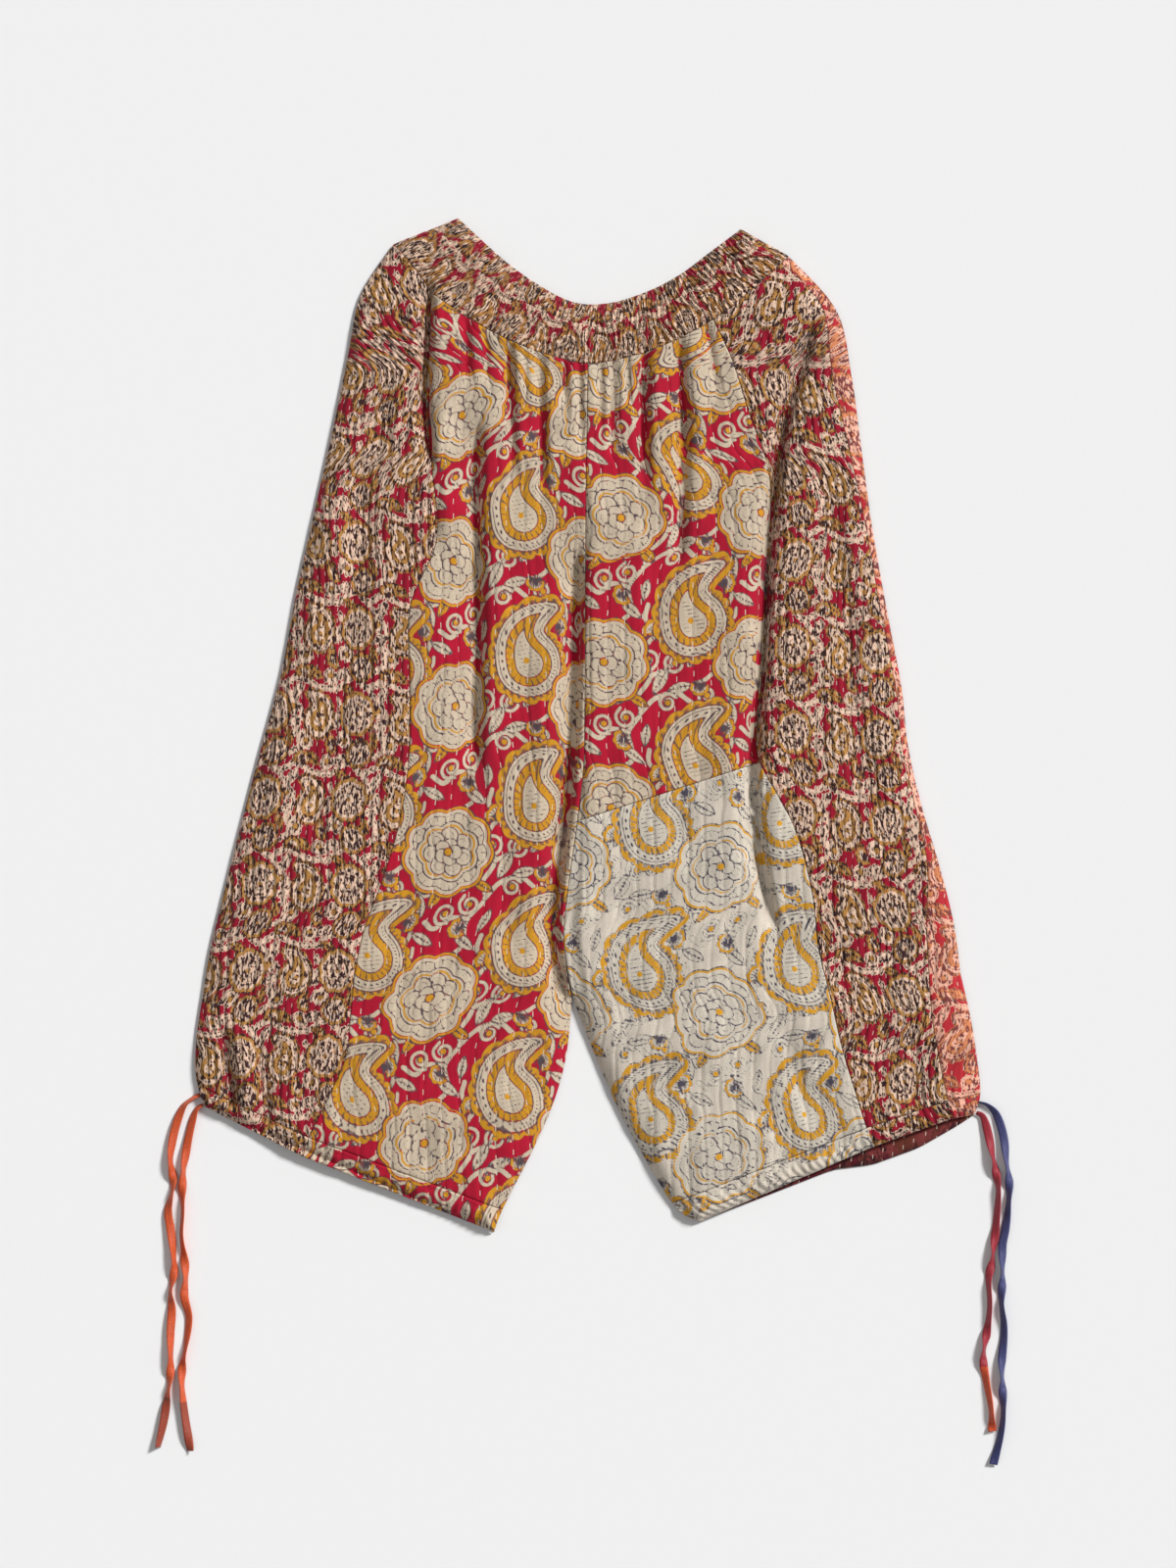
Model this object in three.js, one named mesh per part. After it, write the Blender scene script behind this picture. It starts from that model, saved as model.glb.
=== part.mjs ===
// Full-cut capri trousers with a shirred waistband and drawstring hems, laid flat.
// Units are millimetres. Z is up, +Y runs to the waist, +X to the right of the front view.
// The origin is on the floor under the middle of the garment, cords left out.
import * as THREE from 'three';

// ---- driving sizes ----
const BACK_WALL = 1.5;          // back cloth, flat on the floor
const FRONT_WALL = 1.5;         // front cloth
const BAND_WALL = 2.6;          // shirred band, elastic between two layers
const CASING_WALL = 2.6;        // folded hem with the drawstring inside
const LAYER_GAP = 0.3;          // air between the back and the front cloth
const SEAM_GAP = 0.42;          // space between two pieces at a seam
const ROWS_PER_SECTION = 2;     // front rows between two listed sections
const EDGE_LOFT = 4.6;          // how high the front stands a little way in from an edge
const EDGE_REACH = 13;          // how fast it gets there
const BODY_LOFT = 2.6;          // extra height in the middle of the body
const BODY_REACH = 90;
const CENTRE = [0.75, 0.1];     // moves the tables so that the origin is under the middle of the garment
const CORD_DIAMETER = 4.2;
const CORD_SIDES = 8;

const COLUMNS = { sideLeft: 6, frontLeft: 10, frontRight: 9, sideRight: 6, strip: 2, back: 7 };

// ---- sections, waist to hem ----
// Columns: outer left edge, left side seam, left of centre, right of centre, right side seam,
// inner edge of the turned strip, outer right edge. Each is [x, y].
const SECTIONS = [
  { name: 'waist seam', outL: [-159.4, 392], seamL: [-128.6, 352], midL: [-0.6, 293.6],
    midR: [-0.6, 293.6], seamR: [101, 329.6], strip: [157, 376], outR: [163, 382.4] },
  { name: 'gathers', outL: [-186, 350], seamL: [-130, 305], midL: [-1.2, 262],
    midR: [-1.2, 262], seamR: [116, 298], strip: [190, 340], outR: [202, 338] },
  { name: 'high hip', outL: [-196.7, 300], seamL: [-132.5, 258], midL: [-1.8, 225],
    midR: [-1.8, 225], seamR: [129.8, 255], strip: [198, 285], outR: [214.4, 285] },
  { name: 'hip', outL: [-209, 240], seamL: [-127.2, 206], midL: [-2.4, 178],
    midR: [-2.4, 178], seamR: [147.2, 202], strip: [211.8, 225], outR: [222.5, 225] },
  { name: 'seat', outL: [-223.5, 175], seamL: [-123.9, 150], midL: [-2.7, 125],
    midR: [-2.7, 125], seamR: [146.9, 145], strip: [226, 160], outR: [231.5, 160] },
  { name: 'jog in the side seam', outL: [-238.5, 108], seamL: [-145.4, 96], midL: [-3, 70],
    midR: [-3, 70], seamR: [144, 90], strip: [237.5, 95], outR: [243, 95] },
  { name: 'upper thigh', outL: [-250.9, 42], seamL: [-145.6, 40], midL: [-3.3, 15],
    midR: [-3.3, 15], seamR: [140.9, 34], strip: [249.8, 30], outR: [255.3, 30] },
  { name: 'thigh', outL: [-269, -25], seamL: [-146.2, -25], midL: [-4.2, -32],
    midR: [-4.2, -32], seamR: [137.4, 4], strip: [254.7, -15], outR: [260.2, -15] },
  { name: 'top of the cream panel', outL: [-284.6, -85], seamL: [-154.2, -80], midL: [-9.3, -78.4],
    midR: [-9.3, -78.4], seamR: [139.4, -30.4], strip: [264.8, -62], outR: [270.5, -62] },
  { name: 'low thigh', outL: [-298.4, -140], seamL: [-168.5, -128], midL: [-15.8, -125],
    midR: [-15.8, -125], seamR: [166.3, -82], strip: [275.5, -112], outR: [285.3, -112] },
  { name: 'knee', outL: [-309, -185], seamL: [-182.6, -166], midL: [-20.5, -175],
    midR: [-20.5, -175], seamR: [181, -134], strip: [274.8, -160], outR: [297.5, -160] },
  { name: 'crotch', outL: [-315, -222], seamL: [-191, -204], midL: [-13.6, -224.8],
    midR: [-12.4, -224.8], seamR: [186, -180], strip: [276.5, -202], outR: [303.2, -202] },
  { name: 'calf', outL: [-319.3, -250], seamL: [-194.2, -240], midL: [-19.2, -275],
    midR: [7.5, -275], seamR: [197.2, -225], strip: [279.4, -240], outR: [311.8, -240] },
  { name: 'low calf', outL: [-321, -275], seamL: [-199.2, -275], midL: [-35.3, -325],
    midR: [30.2, -325], seamR: [207.3, -268], strip: [285, -272], outR: [316.8, -272] },
  { name: 'casing seam', outL: [-319.2, -293], seamL: [-228, -336], midL: [-70, -395],
    midR: [68, -389.5], seamR: [226, -328], strip: [292, -306], outR: [319.5, -300] },
  { name: 'hem edge', outL: [-312.5, -311.5], seamL: [-233, -351.6], midL: [-76.8, -413.5],
    midR: [91, -405.2], seamR: [232, -343.6], strip: [297, -320.6], outR: [314.4, -318] },
];
const CREAM_SECTION = 8;
const CROTCH_SECTION = 11;
const CASING_SECTION = 14;

// How far the middle of each piece's top edge sags below a straight line, row by row.
const SAG = {
  frontLeft: [10, 7, 4, 2],
  frontRight: [7, 5, 3, 1],
  sideLeft: [-2, 0],
  sideRight: [2, 0],
};

// Upper edge of the waistband, from the left peak down to the middle and up to the right peak.
const BAND_TOP = [
  [-106.2, 413.2], [-86.5, 394.8], [-65.4, 376.2], [-43, 360.3], [-20.2, 347.7], [-0.6, 343],
  [24.2, 345.6], [51.9, 355.4], [74.8, 367.7], [97.7, 384.8], [114, 397], [123.8, 404.4],
];
const BAND_ROWS = 4;

// The back hem shows below the front hem on the right leg.
const BACK_HEM_DROP = [
  { x: 200, drop: 0 }, { x: 232, drop: 8.5 }, { x: 270, drop: 9.5 }, { x: 300, drop: 4 }, { x: 312, drop: 1 },
];

// ---- folds: path, half width, height (minus is a trough) ----
const FOLDS = [
  { name: 'left side slit', path: [[-130, 352], [-132.5, 256], [-128, 216]], width: 7, height: -3.4 },
  { name: 'left side fold roll', path: [[-114, 330], [-112, 240], [-111, 150]], width: 9, height: 1.8 },
  { name: 'left valley', path: [[-96, 240], [-94, 110], [-98, -32]], width: 11, height: -3.6 },
  { name: 'left valley lip', path: [[-78, 262], [-77, 110], [-80, -60]], width: 9, height: 2.2 },
  { name: 'pleat under the band, left', path: [[-65, 300], [-62, 205]], width: 8, height: -2.2 },
  { name: 'pleat under the band, near centre', path: [[-38, 292], [-37, 200]], width: 8, height: -2 },
  { name: 'centre fold', path: [[-14, 130], [-15, 0], [-21, -110], [-27, -170], [-19, -222]], width: 9, height: -4.6 },
  { name: 'centre fold lip', path: [[4, 190], [3, 20], [0, -90], [-4, -165], [4, -215]], width: 9, height: 2.6 },
  { name: 'pleat right of centre', path: [[22, 290], [20, 225]], width: 8, height: -1.8 },
  { name: 'right front pleat', path: [[43, 290], [44, 205]], width: 8, height: -2.4 },
  { name: 'second right front pleat', path: [[74, 300], [76, 230], [73, 144]], width: 9, height: -2.6 },
  { name: 'right pleat ridge', path: [[60, 270], [60, 120], [66, 40]], width: 10, height: 1.8 },
  { name: 'right side fold', path: [[180.7, 311], [160.2, 250], [152.2, 189], [146.1, 127.5], [142, 46],
    [135.4, -10], [134.4, -54], [138, -100], [150, -160]], width: 10, height: -5.2 },
  { name: 'right side fold roll', path: [[196, 270], [176, 190], [169, 90], [164, 10], [166, -50]],
    width: 13, height: 2.6 },
  { name: 'right front fold roll', path: [[126, 160], [121, 60], [112, -30], [114, -120]], width: 14, height: 2.2 },
  { name: 'crease above the right hem', path: [[78, -344], [104, -352], [128, -362]], width: 8, height: -2 },
  { name: 'bunching at the left cuff', path: [[-300, -262], [-292, -312]], width: 8, height: -2.4 },
  { name: 'second bunch at the left cuff', path: [[-276, -262], [-270, -318]], width: 8, height: 2.2 },
  { name: 'left side soft fold', path: [[-190, 200], [-214, 60], [-238, -90]], width: 15, height: -1.8 },
  { name: 'right side soft fold', path: [[208, 150], [216, 40], [232, -70]], width: 14, height: -1.8 },
];

// ---- cords: route points are [x, y, height of the centre] ----
const CORDS = [
  { name: 'cord_left_a', colour: 0xb4481c, route: [
    [-316.9, -301.6, 2.6], [-323.8, -304.8, 2.6], [-331.5, -313, 2.6], [-338, -332, 2.6], [-341, -353, 2.6], [-339, -370, 2.6],
    [-340, -382, 2.6], [-343, -396, 2.6], [-341, -411, 2.6], [-338.5, -431, 2.6], [-338, -445, 2.6],
    [-341, -461, 2.6], [-340, -478, 2.6], [-341, -496, 2.6], [-341, -525, 2.6], [-344, -551, 2.6],
    [-347, -570, 2.6], [-351.3, -589, 2.6]] },
  { name: 'cord_left_b', colour: 0xb4481c, route: [
    [-314.4, -309.6, 2.6], [-319.6, -313.2, 2.6], [-323.2, -323, 2.6], [-327, -340, 2.6], [-330, -360, 2.6], [-331.5, -380, 2.6],
    [-331, -397, 2.6], [-332, -415, 2.6], [-330, -433, 2.6], [-328.5, -450, 2.6], [-329.8, -466, 2.6],
    [-326, -484, 2.6], [-328.9, -508, 2.6], [-331.8, -529, 2.6], [-329.8, -559, 2.6], [-324.8, -592, 2.6]] },
  { name: 'cord_right_blue', colour: 0x363252, route: [
    [318.4, -307.6, 2.6], [325.4, -310.1, 2.6], [332.5, -318, 2.6], [338, -334, 2.6], [341, -357, 2.6], [343, -374, 2.6],
    [342, -393, 2.6], [340, -411, 2.6], [337.5, -424, 2.6], [337.5, -438, 2.6], [337.5, -452, 2.6],
    [336.5, -470, 2.6], [338.5, -487.5, 2.6], [338.5, -500, 2.6], [337, -519, 2.6], [337.5, -539, 2.6],
    [338, -562, 2.6], [335.8, -579.5, 2.6], [330, -603, 2.6]] },
  { name: 'cord_right_red', colour: 0xa02434, route: [
    [316.1, -316.1, 2.6], [321.4, -319.2, 2.6], [324.8, -329, 2.6], [328.5, -346, 2.6], [332, -364, 2.6], [334, -380, 2.6],
    [333, -398, 2.6], [331.3, -418, 2.6], [329, -438, 2.6], [326, -452, 2.6], [327, -474, 2.6],
    [324.2, -499, 2.6], [321.8, -517, 2.6], [324.2, -535, 2.6], [328, -557, 2.6], [329.2, -576, 2.6]] },
];

// ---- colours and finish, one row per piece ----
const FINISH = {
  mainCrimson: { color: 0xb4625b, roughness: 0.86, metalness: 0 },
  cream: { color: 0xb8a693, roughness: 0.86, metalness: 0 },
  sidePrint: { color: 0x9d6f67, roughness: 0.9, metalness: 0 },
  band: { color: 0x8a5b50, roughness: 0.92, metalness: 0 },
  salmon: { color: 0xc4776a, roughness: 0.9, metalness: 0 },
};

// ---- small helpers ----
const smoothBetween = (a, b, c, d, t) => {
  // Catmull-Rom between b and c
  const t2 = t * t;
  const t3 = t2 * t;
  return 0.5 * (2 * b + (c - a) * t + (2 * a - 5 * b + 4 * c - d) * t2 + (3 * b - a - 3 * c + d) * t3);
};

const pointOnSegment = (px, py, a, b) => {
  const dx = b[0] - a[0];
  const dy = b[1] - a[1];
  const length2 = dx * dx + dy * dy || 1e-9;
  const t = Math.min(1, Math.max(0, ((px - a[0]) * dx + (py - a[1]) * dy) / length2));
  return Math.hypot(px - a[0] - t * dx, py - a[1] - t * dy);
};

const distanceToPath = (x, y, path) => {
  let best = Infinity;
  for (let i = 0; i < path.length - 1; i += 1) {
    best = Math.min(best, pointOnSegment(x, y, path[i], path[i + 1]));
  }
  return best;
};

// One column of the section table as a smooth line with extra rows between the sections.
// The line has a corner at the crotch.
function columnLine(key, perSection) {
  const points = SECTIONS.map((section) => section[key]);
  const line = [];
  for (let i = 0; i < points.length - 1; i += 1) {
    const first = i >= CROTCH_SECTION ? CROTCH_SECTION : 0;
    const last = i >= CROTCH_SECTION ? points.length - 1 : CROTCH_SECTION;
    const a = points[Math.max(first, i - 1)];
    const d = points[Math.min(last, i + 2)];
    for (let step = 0; step < perSection; step += 1) {
      const t = step / perSection;
      line.push([
        smoothBetween(a[0], points[i][0], points[i + 1][0], d[0], t),
        smoothBetween(a[1], points[i][1], points[i + 1][1], d[1], t),
      ]);
    }
  }
  line.push(points[points.length - 1]);
  return line;
}

const OUTLINE = [
  ...BAND_TOP,
  ...SECTIONS.map((s) => s.outR),
  ...SECTIONS.slice(CROTCH_SECTION).map((s) => s.midR).reverse(),
  ...SECTIONS.slice(CROTCH_SECTION).map((s) => s.midL),
  ...SECTIONS.map((s) => s.outL).reverse(),
  BAND_TOP[0],
];

// Height of the underside of the front cloth above the floor.
function frontHeight(x, y) {
  const edge = distanceToPath(x, y, OUTLINE);
  let height = EDGE_LOFT * (1 - Math.exp(-edge / EDGE_REACH));
  height += BODY_LOFT * (1 - Math.exp(-edge / BODY_REACH));
  const inside = 1 - Math.exp(-edge / 10);
  for (const fold of FOLDS) {
    const away = distanceToPath(x, y, fold.path) / fold.width;
    height += inside * fold.height * Math.exp(-away * away);
  }
  return BACK_WALL + LAYER_GAP + Math.max(0, height);
}

// Moves the outer rows and columns of a grid in by half of the seam gap.
function insetGrid(grid, gap) {
  const rows = grid.length;
  const cols = grid[0].length;
  const pull = (from, to) => {
    const length = Math.hypot(to[0] - from[0], to[1] - from[1]) || 1;
    return [(to[0] - from[0]) / length * gap / 2, (to[1] - from[1]) / length * gap / 2];
  };
  return grid.map((row, r) => row.map((point, c) => {
    let [x, y] = point;
    const moves = [];
    if (r === 0) moves.push(pull(point, grid[1][c]));
    if (r === rows - 1) moves.push(pull(point, grid[rows - 2][c]));
    if (c === 0) moves.push(pull(point, row[1]));
    if (c === cols - 1) moves.push(pull(point, row[cols - 2]));
    for (const move of moves) {
      x += move[0];
      y += move[1];
    }
    return [x, y];
  }));
}

// Closed shell over a grid of [x, y] with its underside and wall given by functions.
function shellFromGrid(grid, underside, wall) {
  const rows = grid.length;
  const cols = grid[0].length;
  const positions = [];
  const index = [];
  const lowStart = rows * cols;
  for (let layer = 0; layer < 2; layer += 1) {
    for (let r = 0; r < rows; r += 1) {
      for (let c = 0; c < cols; c += 1) {
        const [x, y] = grid[r][c];
        const low = underside(x, y, r, c);
        positions.push(x, y, layer === 0 ? low + wall(x, y, r, c) : low);
      }
    }
  }
  const top = (r, c) => r * cols + c;
  const low = (r, c) => lowStart + r * cols + c;
  for (let r = 0; r < rows - 1; r += 1) {
    for (let c = 0; c < cols - 1; c += 1) {
      index.push(top(r, c), top(r + 1, c), top(r + 1, c + 1));
      index.push(top(r, c), top(r + 1, c + 1), top(r, c + 1));
      index.push(low(r, c), low(r + 1, c + 1), low(r + 1, c));
      index.push(low(r, c), low(r, c + 1), low(r + 1, c + 1));
    }
  }
  const wallStrip = (ring) => {
    for (let i = 0; i < ring.length; i += 1) {
      const [r0, c0] = ring[i];
      const [r1, c1] = ring[(i + 1) % ring.length];
      index.push(top(r0, c0), low(r0, c0), low(r1, c1));
      index.push(top(r0, c0), low(r1, c1), top(r1, c1));
    }
  };
  const ring = [];
  for (let r = 0; r < rows - 1; r += 1) ring.push([r, 0]);
  for (let c = 0; c < cols - 1; c += 1) ring.push([rows - 1, c]);
  for (let r = rows - 1; r > 0; r -= 1) ring.push([r, cols - 1]);
  for (let c = cols - 1; c > 0; c -= 1) ring.push([0, c]);
  wallStrip(ring);
  const geometry = new THREE.BufferGeometry();
  geometry.setAttribute('position', new THREE.Float32BufferAttribute(positions, 3));
  geometry.setIndex(index);
  geometry.computeVertexNormals();
  return geometry;
}

// Grid between two column lines; sag lowers the middle of the first rows.
function gridBetween(left, right, cols, firstRow, lastRow, sag = [], perSection = 1) {
  const grid = [];
  for (let r = firstRow; r <= lastRow; r += 1) {
    const row = [];
    const at = r / perSection;
    const i = Math.floor(at);
    const here = sag[i] ?? 0;
    const next = sag[i + 1] ?? 0;
    const drop = here + (next - here) * (at - i);
    for (let c = 0; c <= cols; c += 1) {
      const t = c / cols;
      const x = left[r][0] + (right[r][0] - left[r][0]) * t;
      const y = left[r][1] + (right[r][1] - left[r][1]) * t - 4 * drop * t * (1 - t);
      row.push([x, y]);
    }
    grid.push(row);
  }
  return grid;
}

// Points at equal shares of a polyline's length.
function spread(path, shares) {
  const lengths = [0];
  for (let i = 1; i < path.length; i += 1) {
    lengths.push(lengths[i - 1] + Math.hypot(path[i][0] - path[i - 1][0], path[i][1] - path[i - 1][1]));
  }
  const total = lengths[lengths.length - 1];
  return shares.map((share) => {
    const want = share * total;
    let i = 1;
    while (i < path.length - 1 && lengths[i] < want) i += 1;
    const t = (want - lengths[i - 1]) / (lengths[i] - lengths[i - 1]);
    return [
      path[i - 1][0] + (path[i][0] - path[i - 1][0]) * t,
      path[i - 1][1] + (path[i][1] - path[i - 1][1]) * t,
    ];
  });
}

function sharesAlong(path) {
  const lengths = [0];
  for (let i = 1; i < path.length; i += 1) {
    lengths.push(lengths[i - 1] + Math.hypot(path[i][0] - path[i - 1][0], path[i][1] - path[i - 1][1]));
  }
  return lengths.map((length) => length / lengths[lengths.length - 1]);
}

// Joins grids side by side; the shared column is kept once.
function joinAcross(...grids) {
  return grids[0].map((_, r) => grids.flatMap((grid, g) => (g === 0 ? grid[r] : grid[r].slice(1))));
}

const part = new THREE.Group();

function addPiece(name, geometry, finish) {
  const moved = geometry.translate(CENTRE[0], CENTRE[1], 0);
  const mesh = new THREE.Mesh(moved, new THREE.MeshStandardMaterial({ ...finish }));
  mesh.name = name;
  part.add(mesh);
}

// ---- front panels ----
const N = ROWS_PER_SECTION;
const lines = {};
for (const key of ['outL', 'seamL', 'midL', 'midR', 'seamR', 'strip', 'outR']) {
  lines[key] = columnLine(key, N);
}
const lastPanelRow = CASING_SECTION * N;
const creamRow = CREAM_SECTION * N;
const lastRow = (SECTIONS.length - 1) * N;
const front = {
  sideLeft: gridBetween(lines.outL, lines.seamL, COLUMNS.sideLeft, 0, lastRow, SAG.sideLeft, N),
  frontLeft: gridBetween(lines.seamL, lines.midL, COLUMNS.frontLeft, 0, lastRow, SAG.frontLeft, N),
  frontRight: gridBetween(lines.midR, lines.seamR, COLUMNS.frontRight, 0, lastRow, SAG.frontRight, N),
  sideRight: gridBetween(lines.seamR, lines.strip, COLUMNS.sideRight, 0, lastRow, SAG.sideRight, N),
  strip: gridBetween(lines.strip, lines.outR, COLUMNS.strip, 0, lastRow, [], N),
};
const frontWall = () => FRONT_WALL;
const addFront = (name, grid, finish) => {
  addPiece(name, shellFromGrid(insetGrid(grid, SEAM_GAP), frontHeight, frontWall), finish);
};
addFront('side_left', front.sideLeft.slice(0, lastPanelRow + 1), FINISH.sidePrint);
addFront('front_left', front.frontLeft.slice(0, lastPanelRow + 1), FINISH.mainCrimson);
addFront('front_right', front.frontRight.slice(0, creamRow + 1), FINISH.mainCrimson);
addFront('front_right_cream', front.frontRight.slice(creamRow, lastPanelRow + 1), FINISH.cream);
addFront('side_right', front.sideRight.slice(0, lastPanelRow + 1), FINISH.sidePrint);
addFront('side_strip_right', front.strip.slice(0, lastPanelRow + 1), FINISH.salmon);

// ---- front casings ----
const casingWall = () => CASING_WALL;
const leftLeg = joinAcross(front.sideLeft, front.frontLeft);
const rightLeg = joinAcross(front.frontRight, front.sideRight, front.strip);
const casingGrid = (leg) => insetGrid(leg.slice(lastPanelRow, lastRow + 1), SEAM_GAP);
addPiece('hem_left_front', shellFromGrid(casingGrid(leftLeg), frontHeight, casingWall), FINISH.mainCrimson);
addPiece('hem_right_front', shellFromGrid(casingGrid(rightLeg), frontHeight, casingWall), FINISH.cream);

// ---- waistband ----
const waistSeam = [
  ...leftLeg[0],
  ...rightLeg[0].slice(1),
];
const bandTop = spread(BAND_TOP, sharesAlong(waistSeam));
const bandGrid = [];
for (let r = 0; r <= BAND_ROWS; r += 1) {
  const t = r / BAND_ROWS;
  bandGrid.push(waistSeam.map((low, c) => [
    bandTop[c][0] + (low[0] - bandTop[c][0]) * t,
    bandTop[c][1] + (low[1] - bandTop[c][1]) * t,
  ]));
}
const bandWall = () => BAND_WALL;
addPiece('waistband_front', shellFromGrid(insetGrid(bandGrid, SEAM_GAP), frontHeight, bandWall), FINISH.band);

// ---- back, flat on the floor ----
const backLines = {};
for (const key of ['outL', 'midL', 'midR', 'outR']) {
  backLines[key] = SECTIONS.map((section) => section[key]);
}
const hemDrop = (x) => {
  const table = BACK_HEM_DROP;
  if (x <= table[0].x || x >= table[table.length - 1].x) return 0;
  let i = 1;
  while (table[i].x < x) i += 1;
  const t = (x - table[i - 1].x) / (table[i].x - table[i - 1].x);
  return table[i - 1].drop + (table[i].drop - table[i - 1].drop) * t;
};
const onFloor = () => 0;
const backWall = () => BACK_WALL;
const backSections = SECTIONS.length - 1;
const backLeft = gridBetween(backLines.outL, backLines.midL, COLUMNS.back, 0, backSections, [16, 10, 5, 2]);
const backRight = gridBetween(backLines.midR, backLines.outR, COLUMNS.back, 0, backSections, [16, 10, 5, 2]);
for (const row of [backRight[backSections]]) {
  for (const point of row) point[1] -= hemDrop(point[0]);
}
const addBack = (name, grid, finish) => {
  addPiece(name, shellFromGrid(insetGrid(grid, SEAM_GAP), onFloor, backWall), finish);
};
addBack('back_left', backLeft.slice(0, CASING_SECTION + 1), FINISH.salmon);
addBack('back_right', backRight.slice(0, CASING_SECTION + 1), FINISH.salmon);
addBack('hem_left_back', backLeft.slice(CASING_SECTION), FINISH.salmon);
addBack('hem_right_back', backRight.slice(CASING_SECTION), FINISH.salmon);
const backSeam = [...backLeft[0], ...backRight[0].slice(1)];
const backTop = spread(BAND_TOP, sharesAlong(backSeam));
const backBand = [backTop, backTop.map((p, c) => [(p[0] + backSeam[c][0]) / 2, (p[1] + backSeam[c][1]) / 2]), backSeam];
addBack('waistband_back', backBand, FINISH.band);

// ---- drawstring tails ----
class RouteCurve extends THREE.CatmullRomCurve3 {}
function roundSection(diameter, sides) {
  const shape = new THREE.Shape();
  for (let i = 0; i < sides; i += 1) {
    const angle = ((i + 0.5) / sides) * Math.PI * 2;
    const x = Math.cos(angle) * diameter / 2;
    const y = Math.sin(angle) * diameter / 2;
    if (i === 0) shape.moveTo(x, y);
    else shape.lineTo(x, y);
  }
  shape.closePath();
  return shape;
}
for (const cord of CORDS) {
  const curve = new RouteCurve(cord.route.map(([x, y, z]) => new THREE.Vector3(x, y, z)), false, 'centripetal');
  const steps = Math.round(curve.getLength() / (CORD_DIAMETER * 2.6));
  const geometry = new THREE.ExtrudeGeometry(roundSection(CORD_DIAMETER, CORD_SIDES), {
    steps, bevelEnabled: false, extrudePath: curve, curveSegments: 1,
  });
  addPiece(cord.name, geometry, { color: cord.colour, roughness: 0.55, metalness: 0 });
}

export default part;
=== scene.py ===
"""Full-cut capri joggers in patchwork cotton, laid flat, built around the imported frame.

Every size below is in millimetres until a mesh is made, where it turns into metres.
"""
from __future__ import annotations

import logging
import math
from dataclasses import dataclass
from enum import Enum

import bpy
import numpy as np
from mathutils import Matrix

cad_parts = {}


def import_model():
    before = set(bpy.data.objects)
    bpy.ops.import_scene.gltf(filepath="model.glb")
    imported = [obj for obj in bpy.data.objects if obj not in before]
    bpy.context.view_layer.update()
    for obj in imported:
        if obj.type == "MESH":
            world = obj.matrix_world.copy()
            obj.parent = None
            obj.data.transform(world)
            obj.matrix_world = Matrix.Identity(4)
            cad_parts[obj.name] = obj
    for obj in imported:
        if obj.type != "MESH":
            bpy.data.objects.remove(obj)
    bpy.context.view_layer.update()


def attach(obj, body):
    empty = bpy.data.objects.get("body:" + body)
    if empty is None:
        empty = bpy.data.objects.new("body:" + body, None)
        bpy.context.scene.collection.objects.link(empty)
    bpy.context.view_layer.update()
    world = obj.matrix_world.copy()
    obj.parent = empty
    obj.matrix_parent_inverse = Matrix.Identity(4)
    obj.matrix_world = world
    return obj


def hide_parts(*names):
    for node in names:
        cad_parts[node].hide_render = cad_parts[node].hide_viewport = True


LOG = logging.getLogger("joggers")
MM = 0.001
CENTRE = (0.75, 0.1)
BACK_WALL = 1.5
LAYER_GAP = 0.3
FRONT_WALL = 1.3
SEAM_GAP = 0.3
FOLD_DEPTH = 2.0
LOFT_LIMIT = 18.0
CRUMPLES = 26

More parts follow.
